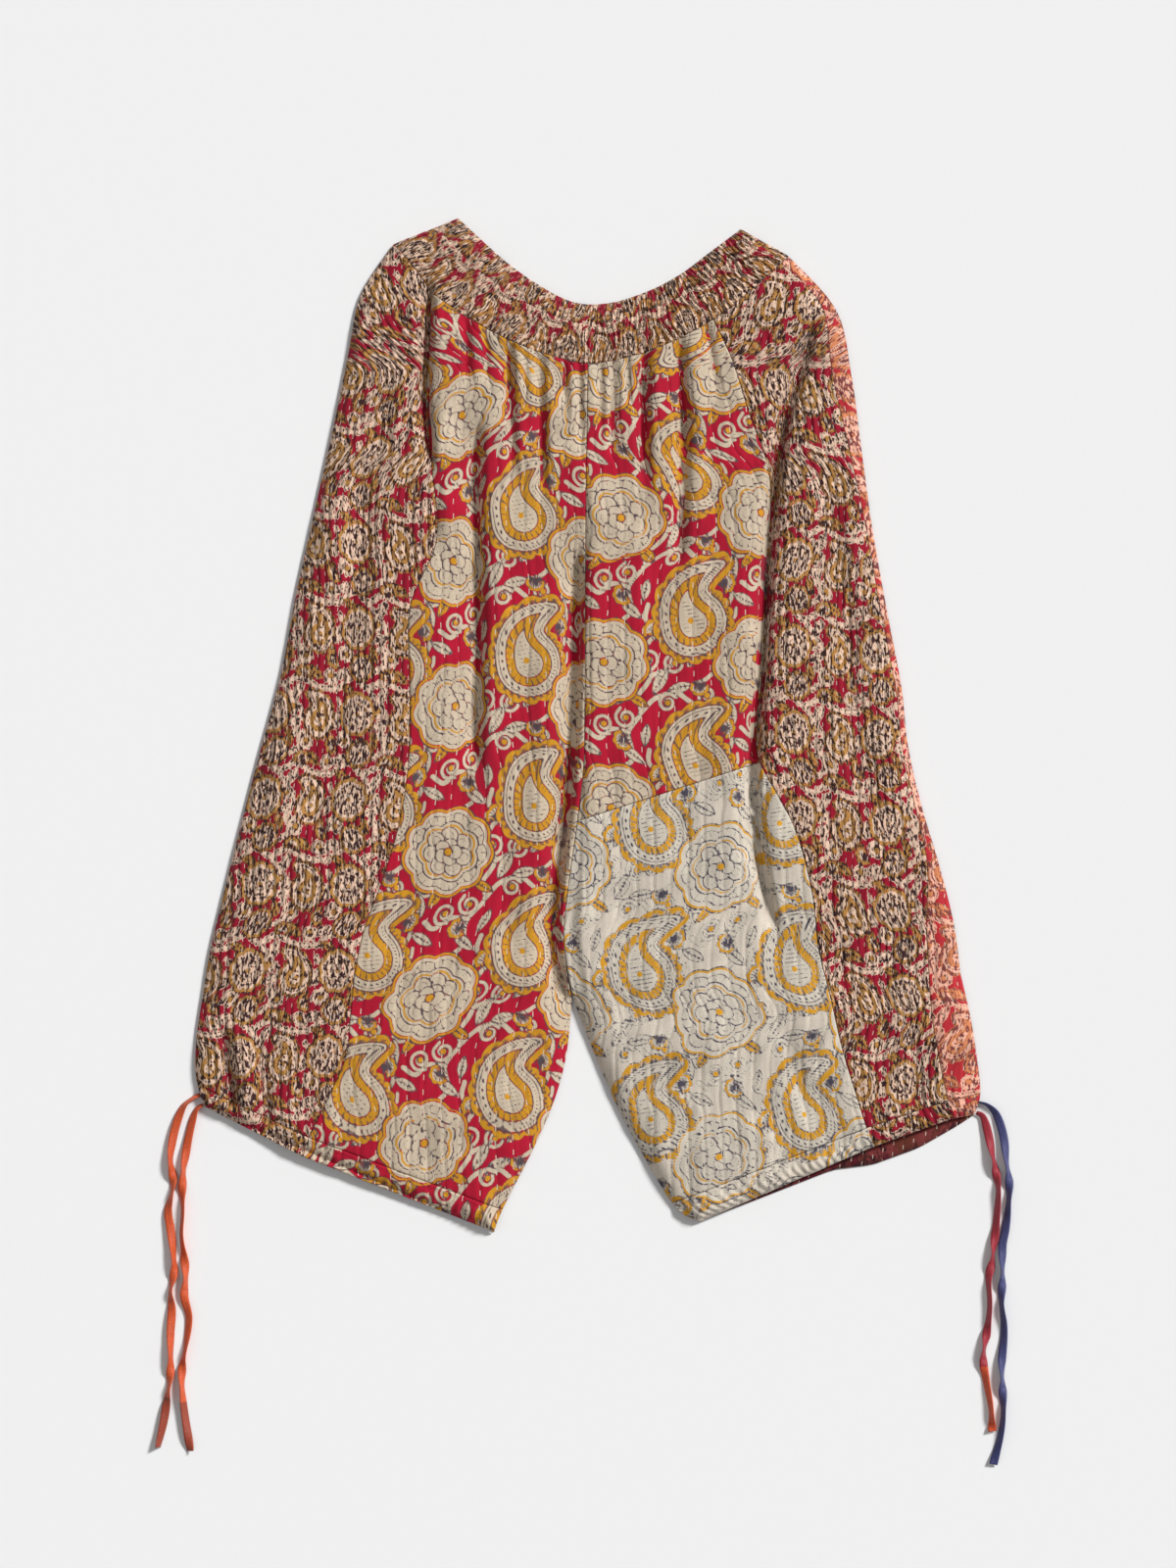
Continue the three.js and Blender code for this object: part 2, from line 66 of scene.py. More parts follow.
# One row per section, from the waist seam to the hem edge. Columns: outer left, left side seam,
# left of centre, right of centre, right side seam, inner edge of the turned strip, outer right.
SECTION_KEYS = ("outL", "seamL", "midL", "midR", "seamR", "strip", "outR")
SECTIONS = (
    ("waist seam", (-159.4, 392), (-128.6, 352), (-0.6, 293.6), (-0.6, 293.6), (101, 329.6), (157, 376), (163, 382.4)),
    ("gathers", (-186, 350), (-130, 305), (-1.2, 262), (-1.2, 262), (116, 298), (190, 340), (202, 338)),
    ("high hip", (-196.7, 300), (-132.5, 258), (-1.8, 225), (-1.8, 225), (129.8, 255), (198, 285), (214.4, 285)),
    ("hip", (-209, 240), (-127.2, 206), (-2.4, 178), (-2.4, 178), (147.2, 202), (211.8, 225), (222.5, 225)),
    ("seat", (-223.5, 175), (-123.9, 150), (-2.7, 125), (-2.7, 125), (146.9, 145), (226, 160), (231.5, 160)),
    ("side jog", (-238.5, 108), (-145.4, 96), (-3, 70), (-3, 70), (144, 90), (237.5, 95), (243, 95)),
    ("upper thigh", (-250.9, 42), (-145.6, 40), (-3.3, 15), (-3.3, 15), (140.9, 34), (249.8, 30), (255.3, 30)),
    ("thigh", (-269, -25), (-146.2, -25), (-4.2, -32), (-4.2, -32), (137.4, 4), (254.7, -15), (260.2, -15)),
    ("cream top", (-284.6, -85), (-154.2, -80), (-9.3, -78.4), (-9.3, -78.4), (139.4, -30.4), (264.8, -62),
     (270.5, -62)),
    ("low thigh", (-298.4, -140), (-168.5, -128), (-15.8, -125), (-15.8, -125), (166.3, -82), (275.5, -112),
     (285.3, -112)),
    ("knee", (-309, -185), (-182.6, -166), (-20.5, -175), (-20.5, -175), (181, -134), (274.8, -160), (297.5, -160)),
    ("crotch", (-315, -222), (-191, -204), (-13.6, -224.8), (-12.4, -224.8), (186, -180), (276.5, -202),
     (303.2, -202)),
    ("calf", (-319.3, -250), (-194.2, -240), (-19.2, -275), (7.5, -275), (197.2, -225), (279.4, -240),
     (311.8, -240)),
    ("low calf", (-321, -275), (-199.2, -275), (-35.3, -325), (30.2, -325), (207.3, -268), (285, -272),
     (316.8, -272)),
    ("casing seam", (-319.2, -293), (-228, -336), (-70, -395), (68, -389.5), (226, -328), (292, -306),
     (319.5, -300)),
    ("hem edge", (-312.5, -311.5), (-233, -351.6), (-76.8, -413.5), (91, -405.2), (232, -343.6), (297, -320.6),
     (314.4, -318)),
)
CREAM, CROTCH, CASING, HEM = 8, 11, 14, 15
BAND_TOP = ((-106.2, 413.2), (-86.5, 394.8), (-65.4, 376.2), (-43, 360.3), (-20.2, 347.7), (-0.6, 343),
            (24.2, 345.6), (51.9, 355.4), (74.8, 367.7), (97.7, 384.8), (114, 397), (123.8, 404.4))
BAND_RUN = 335.0
BAND_PRINT_TOP = 58.0
BAND_PRINT_DEPTH = 52.0
SAG = {"frontLeft": (10, 7, 4, 2), "frontRight": (7, 5, 3, 1), "sideLeft": (-2, 0), "sideRight": (2, 0),
       "strip": (0,), "back": (16, 10, 5, 2)}
BACK_HEM_DROP = ((200, 0), (232, 8.5), (270, 9.5), (300, 4), (312, 1))


@dataclass(frozen=True)
class Fold:
    """One up-and-down fold of the cloth.

    Attributes:
        name: what a maker would call it, not used.
        path: (y, x) pairs from the top down.
        left: how far it reaches to its left.
        right: how far it reaches to its right.
        height: its height, minus for a trough.
        fade: how softly it starts and ends along its length.
    """

    name: str
    path: tuple[tuple[float, float], ...]
    left: float
    right: float
    height: float
    fade: float = 26.0


FOLDS = (
    Fold("left side slit", ((352, -129), (300, -131), (256, -132), (216, -128)), 6, 3.2, -6.4, 14),
    Fold("roll beside the slit", ((330, -119), (240, -119), (150, -113)), 6, 12, 2.6),
    Fold("left valley", ((240, -92), (110, -90), (-32, -92)), 14, 5, -5.4),
    Fold("left valley lip", ((262, -79), (110, -76), (-60, -79)), 6, 14, 2.8),
    Fold("outer left pleat", ((312, -66), (205, -62)), 5, 5, -3.4),
    Fold("outer left pleat lip", ((306, -58), (215, -54)), 4, 8, 1.6),
    Fold("inner left pleat", ((300, -40), (190, -38)), 4, 5, -3),
    Fold("inner left pleat lip", ((296, -32), (200, -30)), 4, 7, 1.5),
    Fold("small left gather", ((302, -52), (262, -51)), 3, 3, -2, 12),
    Fold("far left gather", ((330, -100), (280, -99)), 3.5, 4, -2.4, 14),
    Fold("next left gather", ((318, -84), (282, -83)), 3, 3, -1.8, 12),
    Fold("centre left gather", ((296, -20), (245, -18)), 3, 4, -2.2, 14),
    Fold("gather at centre", ((295, -8), (232, -7)), 3, 4, -2.4, 16),
    Fold("centre fold", ((136, -9), (60, -10), (0, -12), (-60, -17), (-110, -23), (-170, -29), (-222, -20)), 11, 4,
         -7.2, 20),
    Fold("centre fold lip", ((200, 4), (20, 4), (-90, 0), (-165, -6), (-212, 0)), 5, 15, 3),
    Fold("fold left of centre", ((90, -34), (-40, -37), (-150, -50)), 9, 12, 1.8),
    Fold("gather right of centre", ((295, 9), (240, 10)), 3, 4, -2.2, 14),
    Fold("second right gather", ((296, 20), (222, 19)), 3.4, 5, -2.8, 16),
    Fold("third right gather", ((299, 31), (262, 32)), 3, 3, -2, 12),
    Fold("right pleat", ((302, 44), (205, 44)), 4.5, 6, -4),
    Fold("right pleat lip", ((298, 54), (180, 55)), 5, 9, 2),
    Fold("outer right pleat", ((312, 74), (232, 77), (140, 73)), 6, 5, -4),
    Fold("outer right pleat lip", ((312, 86), (232, 89), (120, 85)), 6, 10, 2.2),
    Fold("far right gather", ((322, 96), (270, 104)), 3, 4, -2.2, 14),
    Fold("middle right swell", ((190, 34), (60, 38), (-30, 40)), 16, 16, 1.6),
    Fold("right side fold", ((316, 181), (250, 161), (189, 152.5), (127.5, 147), (46, 142), (-10, 136), (-54, 134.5),
                             (-100, 138.5), (-160, 151)), 7.5, 3.6, -8.2, 22),
    Fold("right side fold roll", ((300, 196), (250, 176), (190, 166), (90, 160), (10, 156), (-60, 151), (-120, 158)),
         8, 20, 3),
    Fold("right front roll", ((180, 129), (60, 122), (-30, 113), (-120, 116)), 14, 10, 2.6),
    Fold("right cuff crease", ((-250, 158), (-330, 182)), 6, 12, -1.6),
    Fold("cream middle swell", ((-120, 70), (-300, 105)), 24, 24, 1.8),
    Fold("left cuff bunch", ((-250, -297), (-312, -290)), 4, 4, -3.6, 14),
    Fold("left cuff bunch roll", ((-245, -286), (-318, -277)), 5, 8, 2.6, 16),
    Fold("second cuff bunch", ((-262, -268), (-326, -262)), 4, 5, -2.4, 16),
    Fold("left side soft fold", ((300, -160), (200, -176), (60, -196), (-90, -222)), 16, 10, -2),
    Fold("left side outer soft fold", ((180, -206), (40, -228), (-120, -268)), 10, 16, 1.8),
    Fold("right side soft fold", ((180, 196), (40, 214), (-70, 228)), 16, 10, -2),
    Fold("right cuff outer bunch", ((-236, 262), (-318, 268)), 5, 6, -2.2, 18),
)


def srgb(red: int, green: int, blue: int) -> tuple[float, float, float, float]:
    """Turns an 8-bit display colour into the linear colour that a shader takes.

    Args:
        red: red, 0 to 255.
        green: green, 0 to 255.
        blue: blue, 0 to 255.

    Returns:
        Linear red, green, blue and alpha.
    """
    out = []
    for value in (red, green, blue):
        share = value / 255
        out.append(share / 12.92 if share <= 0.04045 else ((share + 0.055) / 1.055) ** 2.4)
    return (out[0], out[1], out[2], 1.0)


class Tile:
    """One repeat of the printed pattern, kept as distances to each ink in millimetres.

    Args:
        width: width of the repeat.
        height: height of the repeat.
        step: spacing of the distances.
    """

    INKS = ("fill", "gold", "line")

    def __init__(self, width: float, height: float, step: float) -> None:
        self.width = width
        self.height = height
        self.step = step
        self.columns = round(width / step)
        self.rows = round(height / step)
        across = (np.arange(self.columns) + 0.5) * step
        up = (np.arange(self.rows) + 0.5) * step
        self.x, self.y = np.meshgrid(across, up)
        self.ink = {name: np.full(self.x.shape, 9.0) for name in self.INKS}

    def paint(self, name: str | None, distance: np.ndarray) -> None:
        """Prints a shape over what is there; None clears it to the ground cloth.

        Args:
            name: the ink, or None.
            distance: signed distance to the shape, minus inside.
        """
        for ink, distances in self.ink.items():
            if ink == name:
                np.minimum(distances, distance, out=distances)
            else:
                np.maximum(distances, -distance, out=distances)

    def local(self, x: float, y: float, turn: float = 0.0, flip: bool = False) -> tuple[np.ndarray, np.ndarray]:
        """Coordinates round a motif's middle, wrapped so that it repeats.

        Args:
            x: middle across the tile.
            y: middle up the tile.
            turn: turn of the motif in degrees.
            flip: True to mirror it.

        Returns:
            The two turned coordinates.
        """
        dx = (self.x - x + self.width / 2) % self.width - self.width / 2
        dy = (self.y - y + self.height / 2) % self.height - self.height / 2
        angle = math.radians(turn)
        u = dx * math.cos(angle) + dy * math.sin(angle)
        v = -dx * math.sin(angle) + dy * math.cos(angle)
        return (-u if flip else u), v

    @staticmethod
    def petals(u: np.ndarray, v: np.ndarray, count: int, start: float, reach: float) -> list[np.ndarray]:
        """Distances to the middles of a ring of petals.

        Args:
            u: coordinates across the flower.
            v: coordinates up the flower.
            count: how many petals.
            start: angle of the first one.
            reach: radius of the ring.

        Returns:
            One array of distances for each petal.
        """
        angles = [2 * math.pi * k / count + start for k in range(count)]
        return [np.hypot(u - math.cos(a) * reach, v - math.sin(a) * reach) for a in angles]

    def peony(self, x: float, y: float, size: float, turn: float) -> None:
        """Prints a full scalloped flower.

        Args:
            x: middle across.
            y: middle up.
            size: outer radius.
            turn: turn in degrees.
        """
        u, v = self.local(x, y, turn)
        r = np.hypot(u, v * 1.06)
        a = np.arctan2(v, u)
        edge = size * (0.9 + 0.1 * np.abs(np.sin(4.5 * a + 0.4)) + 0.03 * np.sin(2 * a))
        self.paint("line", r - edge - 2.6)
        self.paint("gold", r - edge - 1.5)
        self.paint(None, r - edge + 0.3)
        self.paint("fill", r - edge + 1.3)
        self.paint("line", np.abs(r - edge + 4.4) - 0.5)
        hatch = np.abs((a * 26 / (2 * math.pi)) % 1 - 0.5) * 2 * math.pi * r / 26 - 0.42
        self.paint("line", np.maximum(hatch, np.abs(r - edge * 0.8) - 2.2))
        middle = size * 0.68 * (0.88 + 0.14 * np.abs(np.sin(3.5 * a + 1.1)))
        self.paint("line", r - middle - 1.2)
        self.paint("fill", r - middle + 0.1)
        self.paint("gold", np.abs(r - middle + 2.8) - 0.7)
        for away in self.petals(u, v, 7, 0.25, size * 0.36):
            self.paint("line", away - size * 0.17 - 1.1)
            self.paint("fill", away - size * 0.17)
            self.paint("line", np.abs(away - size * 0.09) - 0.3)
        for away in self.petals(u, v, 5, 0.9, size * 0.15):
            self.paint("line", away - size * 0.14 - 1.0)
            self.paint("fill", away - size * 0.14)
        self.paint("line", r - size * 0.11)
        self.paint("gold", r - size * 0.08)

    def paisley(self, x: float, y: float, size: float, turn: float, flip: bool) -> None:
        """Prints a curled drop with a fringed rim and a beaded border.

        Args:
            x: middle across.
            y: middle up.
            size: radius of its round end.
            turn: turn in degrees.
            flip: True to mirror it.
        """
        u, v = self.local(x, y, turn, flip)
        u, v = u / size, v / size
        body = np.full(u.shape, 99.0)
        for q in np.linspace(0, 1, 30):
            cx = 1.25 * q ** 2.3 - 0.28 * math.sin(math.pi * q)
            cy = -0.75 + 2.45 * q - 0.62 * q ** 3
            radius = (1 - q) ** 0.8 + 0.07
            body = np.minimum(body, np.hypot(u - cx, v - cy) - radius)
        body = body * size
        a = np.arctan2(v + 0.55, u)
        scallop = np.abs(np.sin(a * 8.5 + v * 1.5)) * size * 0.12
        self.paint("line", body - size * 0.25 - 0.8 - scallop)
        self.paint("gold", body - size * 0.25 - scallop)
        self.paint("line", np.maximum(np.abs(body - size * 0.16) - 1.6, 0.5 - np.abs(np.sin(a * 17 + v * 3)) * 0.6))
        self.paint("line", body - 2.6)
        self.paint("fill", body - 1.6)
        self.paint("line", np.abs(body + 0.6) - 0.45)
        beads = np.hypot(((a * 17 / math.pi + v * 2.2) % 1 - 0.5) * 4.4, body + 3.3) - 1.0
        self.paint("line", beads)
        self.paint("line", body + size * 0.26)
        saw = np.abs((a * 13 / math.pi + v) % 1 - 0.5) * size * 0.13
        self.paint("gold", body + size * 0.3)
        self.paint("line", np.maximum(np.abs(body + size * 0.42) - size * 0.1, 1.2 - saw))
        self.paint("line", body + size * 0.56)
        self.paint("fill", body + size * 0.6)
        self.paint("line", np.maximum(np.abs((v * size) % 3.4 - 1.7) - 0.4, body + size * 0.68))
        self.paint("gold", np.hypot(u + 0.08, v + 0.62) * size - size * 0.1)

    def leaf(self, x: float, y: float, length: float, width: float, turn: float, ink: str = "fill") -> None:
        """Prints a pointed leaf with hatching.

        Args:
            x: middle across.
            y: middle up.
            length: tip to tip.
            width: at its middle.
            turn: turn in degrees.
            ink: the ink it is filled with.
        """
        u, v = self.local(x, y, turn)
        radius = (length * length + width * width) / (4 * width)
        offset = radius - width / 2
        lens = np.maximum(np.hypot(u, v - offset), np.hypot(u, v + offset)) - radius
        self.paint("line", lens - 0.8)
        self.paint(ink, lens + 0.1)
        self.paint("line", np.maximum(np.abs((u + np.abs(v) * 0.7) % 3.2 - 1.6) - 0.38, lens + 1.5))
        self.paint("line", np.maximum(np.abs(v) - 0.45, lens + 0.5))

    def vine(self, points: tuple[tuple[float, float], ...], width: float) -> None:
        """Prints a stem with dark edges along a smooth line.

        Args:
            points: corners of the stem in the tile.
            width: its width.
        """
        line = smooth_path(np.array(points, float), 10)
        distance = np.full(self.x.shape, 99.0)
        for a, b in zip(line[:-1], line[1:]):
            middle = (a + b) / 2
            u, v = self.local(middle[0], middle[1])
            half = (b - a) / 2
            t = np.clip((u * half[0] + v * half[1]) / max(half @ half, 1e-9), -1, 1)
            distance = np.minimum(distance, np.hypot(u - t * half[0], v - t * half[1]))
        self.paint("line", distance - width / 2 - 0.6)
        self.paint("fill", distance - width / 2)

    def spiral(self, x: float, y: float, size: float, start: float, way: int) -> None:
        """Prints a curled tendril with a round end.

        Args:
            x: middle across.
            y: middle up.
            size: outer radius.
            start: where it starts, in degrees.
            way: 1 or -1, which way it winds.
        """
        points = []
        for k in range(12):
            share = k / 11
            angle = math.radians(start) + way * share * 3.1 * math.pi
            radius = size * (1 - 0.82 * share)
            points.append((x + radius * math.cos(angle), y + radius * math.sin(angle)))
        self.vine(tuple(points), 2.2)
        u, v = self.local(x, y)
        self.paint("line", np.hypot(u, v) - 3.1)
        self.paint("gold", np.hypot(u, v) - 2.2)

    def bud(self, x: float, y: float, size: float, turn: float) -> None:
        """Prints a small fan bud with gold tips.

        Args:
            x: middle across.
            y: middle up.
            size: its radius.
            turn: turn in degrees.
        """
        u, v = self.local(x, y, turn)
        r = np.hypot(u, v)
        a = np.arctan2(v, u)
        fan = np.maximum(r - size * (0.86 + 0.14 * np.abs(np.sin(4 * a))), -u - size * 0.2)
        self.paint("line", fan - 0.9)
        self.paint("gold", fan)
        self.paint("fill", np.maximum(r - size * 0.72, -u))
        self.paint("line", np.maximum(np.abs((a * 8 / math.pi) % 1 - 0.5) * r * 0.4 - 0.42, r - size * 0.72))
        self.paint("line", r - size * 0.24)

    def print_all(self, motifs: tuple[tuple, ...]) -> None:
        """Prints motifs over one another, in order.

        Args:
            motifs: rows of kind and values.
        """
        kinds = {"vine": self.vine, "spiral": self.spiral, "leaf": self.leaf, "bud": self.bud,
                 "peony": self.peony, "paisley": self.paisley}
        for kind, *values in motifs:
            kinds[kind](*values)

    def sample(self, s: np.ndarray, t: np.ndarray, grow: float = 0.0) -> np.ndarray:
        """Reads the three distances at cloth coordinates.

        Args:
            s: across the cloth.
            t: up the cloth.
            grow: how far the pale ink spreads past its shapes.

        Returns:
            An array of three distances for each point.
        """
        gx = (s / self.step - 0.5) % self.columns
        gy = (t / self.step - 0.5) % self.rows
        x0 = np.floor(gx).astype(int)
        y0 = np.floor(gy).astype(int)
        fx = gx - x0
        fy = gy - y0
        x0 %= self.columns
        y0 %= self.rows
        x1 = (x0 + 1) % self.columns
        y1 = (y0 + 1) % self.rows
        out = []
        for name in self.INKS:
            f = self.ink[name]
            low = f[y0, x0] * (1 - fx) + f[y0, x1] * fx
            high = f[y1, x0] * (1 - fx) + f[y1, x1] * fx
            out.append(low * (1 - fy) + high * fy - grow * {"fill": 1.0, "gold": 0.7, "line": 0.0}[name])
        return np.stack(out, axis=-1)


def smooth_path(points: np.ndarray, steps: int) -> np.ndarray:
    """Catmull-Rom line through points.

    Args:
        points: corners, one row each.
        steps: how many pieces each stretch is cut into.

    Returns:
        The points of the smooth line.
    """
    padded = np.vstack([2 * points[0] - points[1], points, 2 * points[-1] - points[-2]])
    out = []
    for i in range(1, len(padded) - 2):
        a, b, c, d = padded[i - 1], padded[i], padded[i + 1], padded[i + 2]
        for t in np.arange(steps) / steps:
            out.append(0.5 * (2 * b + (c - a) * t + (2 * a - 5 * b + 4 * c - d) * t * t
                              + (3 * b - a - 3 * c + d) * t ** 3))
    out.append(padded[-2])
    return np.array(out)


# Motifs in the order they are printed. Columns, after the kind: a vine has its corners and width; a spiral
# its middle, radius, start and way; a leaf its middle, length, width, turn and ink; a bud and a peony their
# middle, radius and turn; a paisley its middle, radius, turn and whether it is mirrored.
MAIN_MOTIFS = (
    ("vine", ((40, -6), (52, 12), (46, 30), (58, 46), (84, 50)), 3.4),
    ("vine", ((84, 50), (104, 40), (110, 22), (98, 8), (86, 4)), 3.0),
    ("vine", ((20, 52), (36, 64), (34, 84), (44, 100), (40, 112)), 3.2),
    ("vine", ((108, 56), (118, 74), (112, 92), (122, 108)), 3.0),
    ("vine", ((58, 46), (48, 58), (50, 70)), 3.4),
    ("vine", ((52, 12), (68, 20), (74, 34), (90, 36)), 3.2),
    ("vine", ((44, 100), (56, 112), (72, 116), (84, 108)), 3.4),
    ("vine", ((112, 92), (104, 104), (92, 104)), 3.0),
    ("vine", ((34, 84), (20, 86), (10, 78), (0, 84)), 3.4),
    ("spiral", 72, 22, 9, 120, 1),
    ("spiral", 14, 90, 9, 300, -1),
    ("spiral", 66, 108, 8, 30, 1),
    ("spiral", 122, 112, 8, 200, 1),
    ("leaf", 76, 2, 20, 8, 10),
    ("leaf", 4, 104, 20, 8, 60, "gold"),
    ("leaf", 24, 110, 18, 7, 10),
    ("leaf", 88, 24, 18, 7, 40),
    ("leaf", 48, 82, 18, 7, 80),
    ("leaf", 2, 70, 20, 8, 150),
    ("spiral", 50, 26, 10, 200, 1),
    ("spiral", 113, 60, 9, 20, -1),
    ("spiral", 32, 96, 9, 120, 1),
    ("spiral", 98, 112, 8, 300, -1),
    ("leaf", 60, 8, 24, 9, 60),
    ("leaf", 36, 66, 22, 8, -40),
    ("leaf", 118, 96, 22, 8, 100),
    ("leaf", 106, 30, 20, 7, -20, "gold"),
    ("leaf", 42, 110, 18, 7, 150, "gold"),
    ("bud", 56, 48, 11, 100),
    ("bud", 30, 78, 9, 210),
    ("bud", 112, 84, 9, 20),
    ("bud", 92, 2, 8, 260),
    ("paisley", 84, 70, 23, 10, False),
    ("peony", 14, 22, 37, 15),
)
BORDER_MOTIFS = (
    ("vine", ((0, 34), (16, 44), (30, 36), (46, 42), (64, 34), (84, 34)), 2.6),
    ("vine", ((40, -4), (48, 12), (40, 24), (30, 36)), 2.2),
    ("vine", ((0, 4), (6, 14), (0, 24)), 2.4),
    ("vine", ((44, 70), (46, 56), (38, 50)), 2.4),
    ("leaf", 82, 8, 14, 6, 70),
    ("leaf", 42, 6, 14, 6, 20),
    ("leaf", 10, 34, 14, 6, -20, "gold"),
    ("spiral", 40, 18, 6, 100, 1),
    ("spiral", 76, 44, 6, 10, -1),
    ("spiral", 52, 60, 8, 40, 1),
    ("spiral", 8, 62, 7, 200, -1),
    ("leaf", 44, 30, 16, 6, 60),
    ("leaf", 60, 46, 18, 7, -30, "gold"),
    ("leaf", 4, 46, 16, 6, 20),
    ("leaf", 36, 64, 15, 6, 110, "gold"),
    ("bud", 50, 44, 8, 80),
    ("bud", 80, 58, 8, 200),
    ("peony", 20, 14, 17, 30),
    ("paisley", 66, 14, 10.5, -14, True),
    ("peony", 24, 52, 11, 0),
)


def main_tile() -> Tile:
    """The large repeat of flowers, drops and scrolling stems.

    Returns:
        The printed tile.
    """
    tile = Tile(126.0, 118.0, 0.5)
    tile.print_all(MAIN_MOTIFS)
    return tile


def border_tile() -> Tile:
    """The small dense repeat of the side panels, the band and the back.

    Returns:
        The printed tile.
    """
    tile = Tile(84.0, 70.0, 0.4)
    tile.print_all(BORDER_MOTIFS)
    return tile


def column_line(key: str, at: np.ndarray) -> np.ndarray:
    """One column of the section table as a smooth line with a corner at the crotch.

    Args:
        key: name of the column.
        at: positions in sections, 0 at the waist seam.

    Returns:
        One [x, y] for each position.
    """
    points = np.array([row[1 + SECTION_KEYS.index(key)] for row in SECTIONS], float)
    i = np.clip(np.floor(at + 1e-9).astype(int), 0, HEM - 1)
    t = (at - i)[:, None]
    first = np.where(i >= CROTCH, CROTCH, 0)
    last = np.where(i >= CROTCH, HEM, CROTCH)
    a = points[np.maximum(first, i - 1)]
    b = points[i]
    c = points[i + 1]
    d = points[np.minimum(last, i + 2)]
    return 0.5 * (2 * b + (c - a) * t + (2 * a - 5 * b + 4 * c - d) * t ** 2 + (3 * b - a - 3 * c + d) * t ** 3)


def grid_between(left: str, right: str, first: float, last: float, step: float, sag: str, stride: int,
                 drop: float = 0.0) -> np.ndarray:
    """Points of a panel between two columns of the section table.

    Args:
        left: column on its left.
        right: column on its right.
        first: section where it starts.
        last: section where it ends.
        step: wanted spacing of the points.
        sag: row of SAG for its top edge.
        stride: the counts are a multiple of this.
        drop: 1 where the back hem shows below the front hem.

    Returns:
        Rows by columns by [x, y].
    """
    probe = np.linspace(first, last, 80)
    pl, pr = column_line(left, probe), column_line(right, probe)
    length = max(np.hypot(*np.diff(pl, axis=0).T).sum(), np.hypot(*np.diff(pr, axis=0).T).sum())
    width = np.hypot(*(pr - pl).T).max()
    rows = max(1, math.ceil(length / step / stride)) * stride + 1
    cols = max(1, math.ceil(width / step / stride)) * stride + 1
    at = np.linspace(first, last, rows)
    a, b = column_line(left, at), column_line(right, at)
    share = np.linspace(0, 1, cols)[None, :, None]
    grid = a[:, None, :] + (b - a)[:, None, :] * share
    table = np.array(SAG[sag] + (0,), float)
    low = np.interp(at, np.arange(len(table)), table)
    grid[..., 1] -= 4 * low[:, None] * share[..., 0] * (1 - share[..., 0])
    if drop:
        x, y = zip(*BACK_HEM_DROP)
        near = np.clip(at - (HEM - 1), 0, 1)[:, None]
        grid[..., 1] -= drop * near * np.interp(grid[..., 0], x, y, left=0, right=0)
    return grid


def outline() -> np.ndarray:
    """The garment's whole edge as a closed line.

    Returns:
        Points [x, y], the first repeated at the end.
    """
    at = np.arange(0, HEM + 0.01, 0.5)
    leg = at[at >= CROTCH]
    band = np.array(BAND_TOP)
    parts = [band, column_line("outR", at), column_line("midR", leg)[::-1], column_line("midL", leg),
             column_line("outL", at)[::-1], band[:1]]
    return np.vstack(parts)


def distance_to_line(x: np.ndarray, y: np.ndarray, line: np.ndarray) -> np.ndarray:
    """Distance of points to an open or closed line.

    Args:
        x: points across.
        y: points up.
        line: corners of the line.

    Returns:
        One distance for each point.
    """
    best = np.full(x.shape, 1e9)
    for a, b in zip(line[:-1], line[1:]):
        d = b - a
        t = np.clip(((x - a[0]) * d[0] + (y - a[1]) * d[1]) / max(d @ d, 1e-9), 0, 1)
        best = np.minimum(best, np.hypot(x - a[0] - t * d[0], y - a[1] - t * d[1]))
    return best


class Drape:
    """The lie of the cloth: its height and how its print is taken up in folds.

    Args:
        seed: seed of the small crumples.
    """

    def __init__(self, seed: int = 7) -> None:
        self.edge = outline()
        rng = np.random.default_rng(seed)
        self.waves = [(rng.uniform(0, 2 * math.pi), rng.uniform(16, 70), rng.uniform(0, 2 * math.pi),
                       rng.uniform(0.5, 1.0)) for _ in range(CRUMPLES)]

    def crumple(self, x: np.ndarray, y: np.ndarray) -> np.ndarray:
        """Small uneven swells, about 1 either way.

        Args:
            x: points across.
            y: points up.

        Returns:
            One value for each point.
        """
        total = np.zeros(x.shape)
        for angle, length, phase, weight in self.waves:
            along = x * math.cos(angle) * 1.5 + y * math.sin(angle) * 0.7
            total += weight * np.sin(2 * math.pi * along / length + phase)
        return total / 3.2

    def folds(self, x: np.ndarray, y: np.ndarray) -> tuple[np.ndarray, np.ndarray]:
        """Height of the folds and the cloth taken up by them.

        Args:
            x: points across.
            y: points up.

        Returns:
            The heights, and how far the print is shifted.
        """
        height = np.zeros(x.shape)
        taken = np.zeros(x.shape)
        for fold in FOLDS:
            ys, xs = zip(*fold.path[::-1])
            away = x - np.interp(y, ys, xs)
            reach = np.where(away < 0, fold.left, fold.right)
            run = 1 / (1 + np.exp(-(y - ys[0]) / fold.fade * 4)) / (1 + np.exp((y - ys[-1]) / fold.fade * 4))
            height += FOLD_DEPTH * fold.height * run * np.exp(-(away / reach) ** 2)
            if fold.height < 0:
                taken += -fold.height * 1.3 * run * np.tanh(away / reach)
        return height, taken

    def height(self, x: np.ndarray, y: np.ndarray) -> tuple[np.ndarray, np.ndarray]:
        """Height of the underside of the front cloth and the shift of its print.

        Args:
            x: points across.
            y: points up.

        Returns:
            The height above the floor, and the shift.
        """
        edge = distance_to_line(x, y, self.edge)
        folds, taken = self.folds(x, y)
        body = 9.0 * (1 - np.exp(-edge / 9)) + 3.4 * (1 - np.exp(-edge / 90))
        inside = 1 - np.exp(-edge / 7)
        total = body + inside * (folds + 0.8 * self.crumple(x, y))
        total = LOFT_LIMIT * np.tanh(np.maximum(0, total) / LOFT_LIMIT)
        return BACK_WALL + LAYER_GAP + total, taken


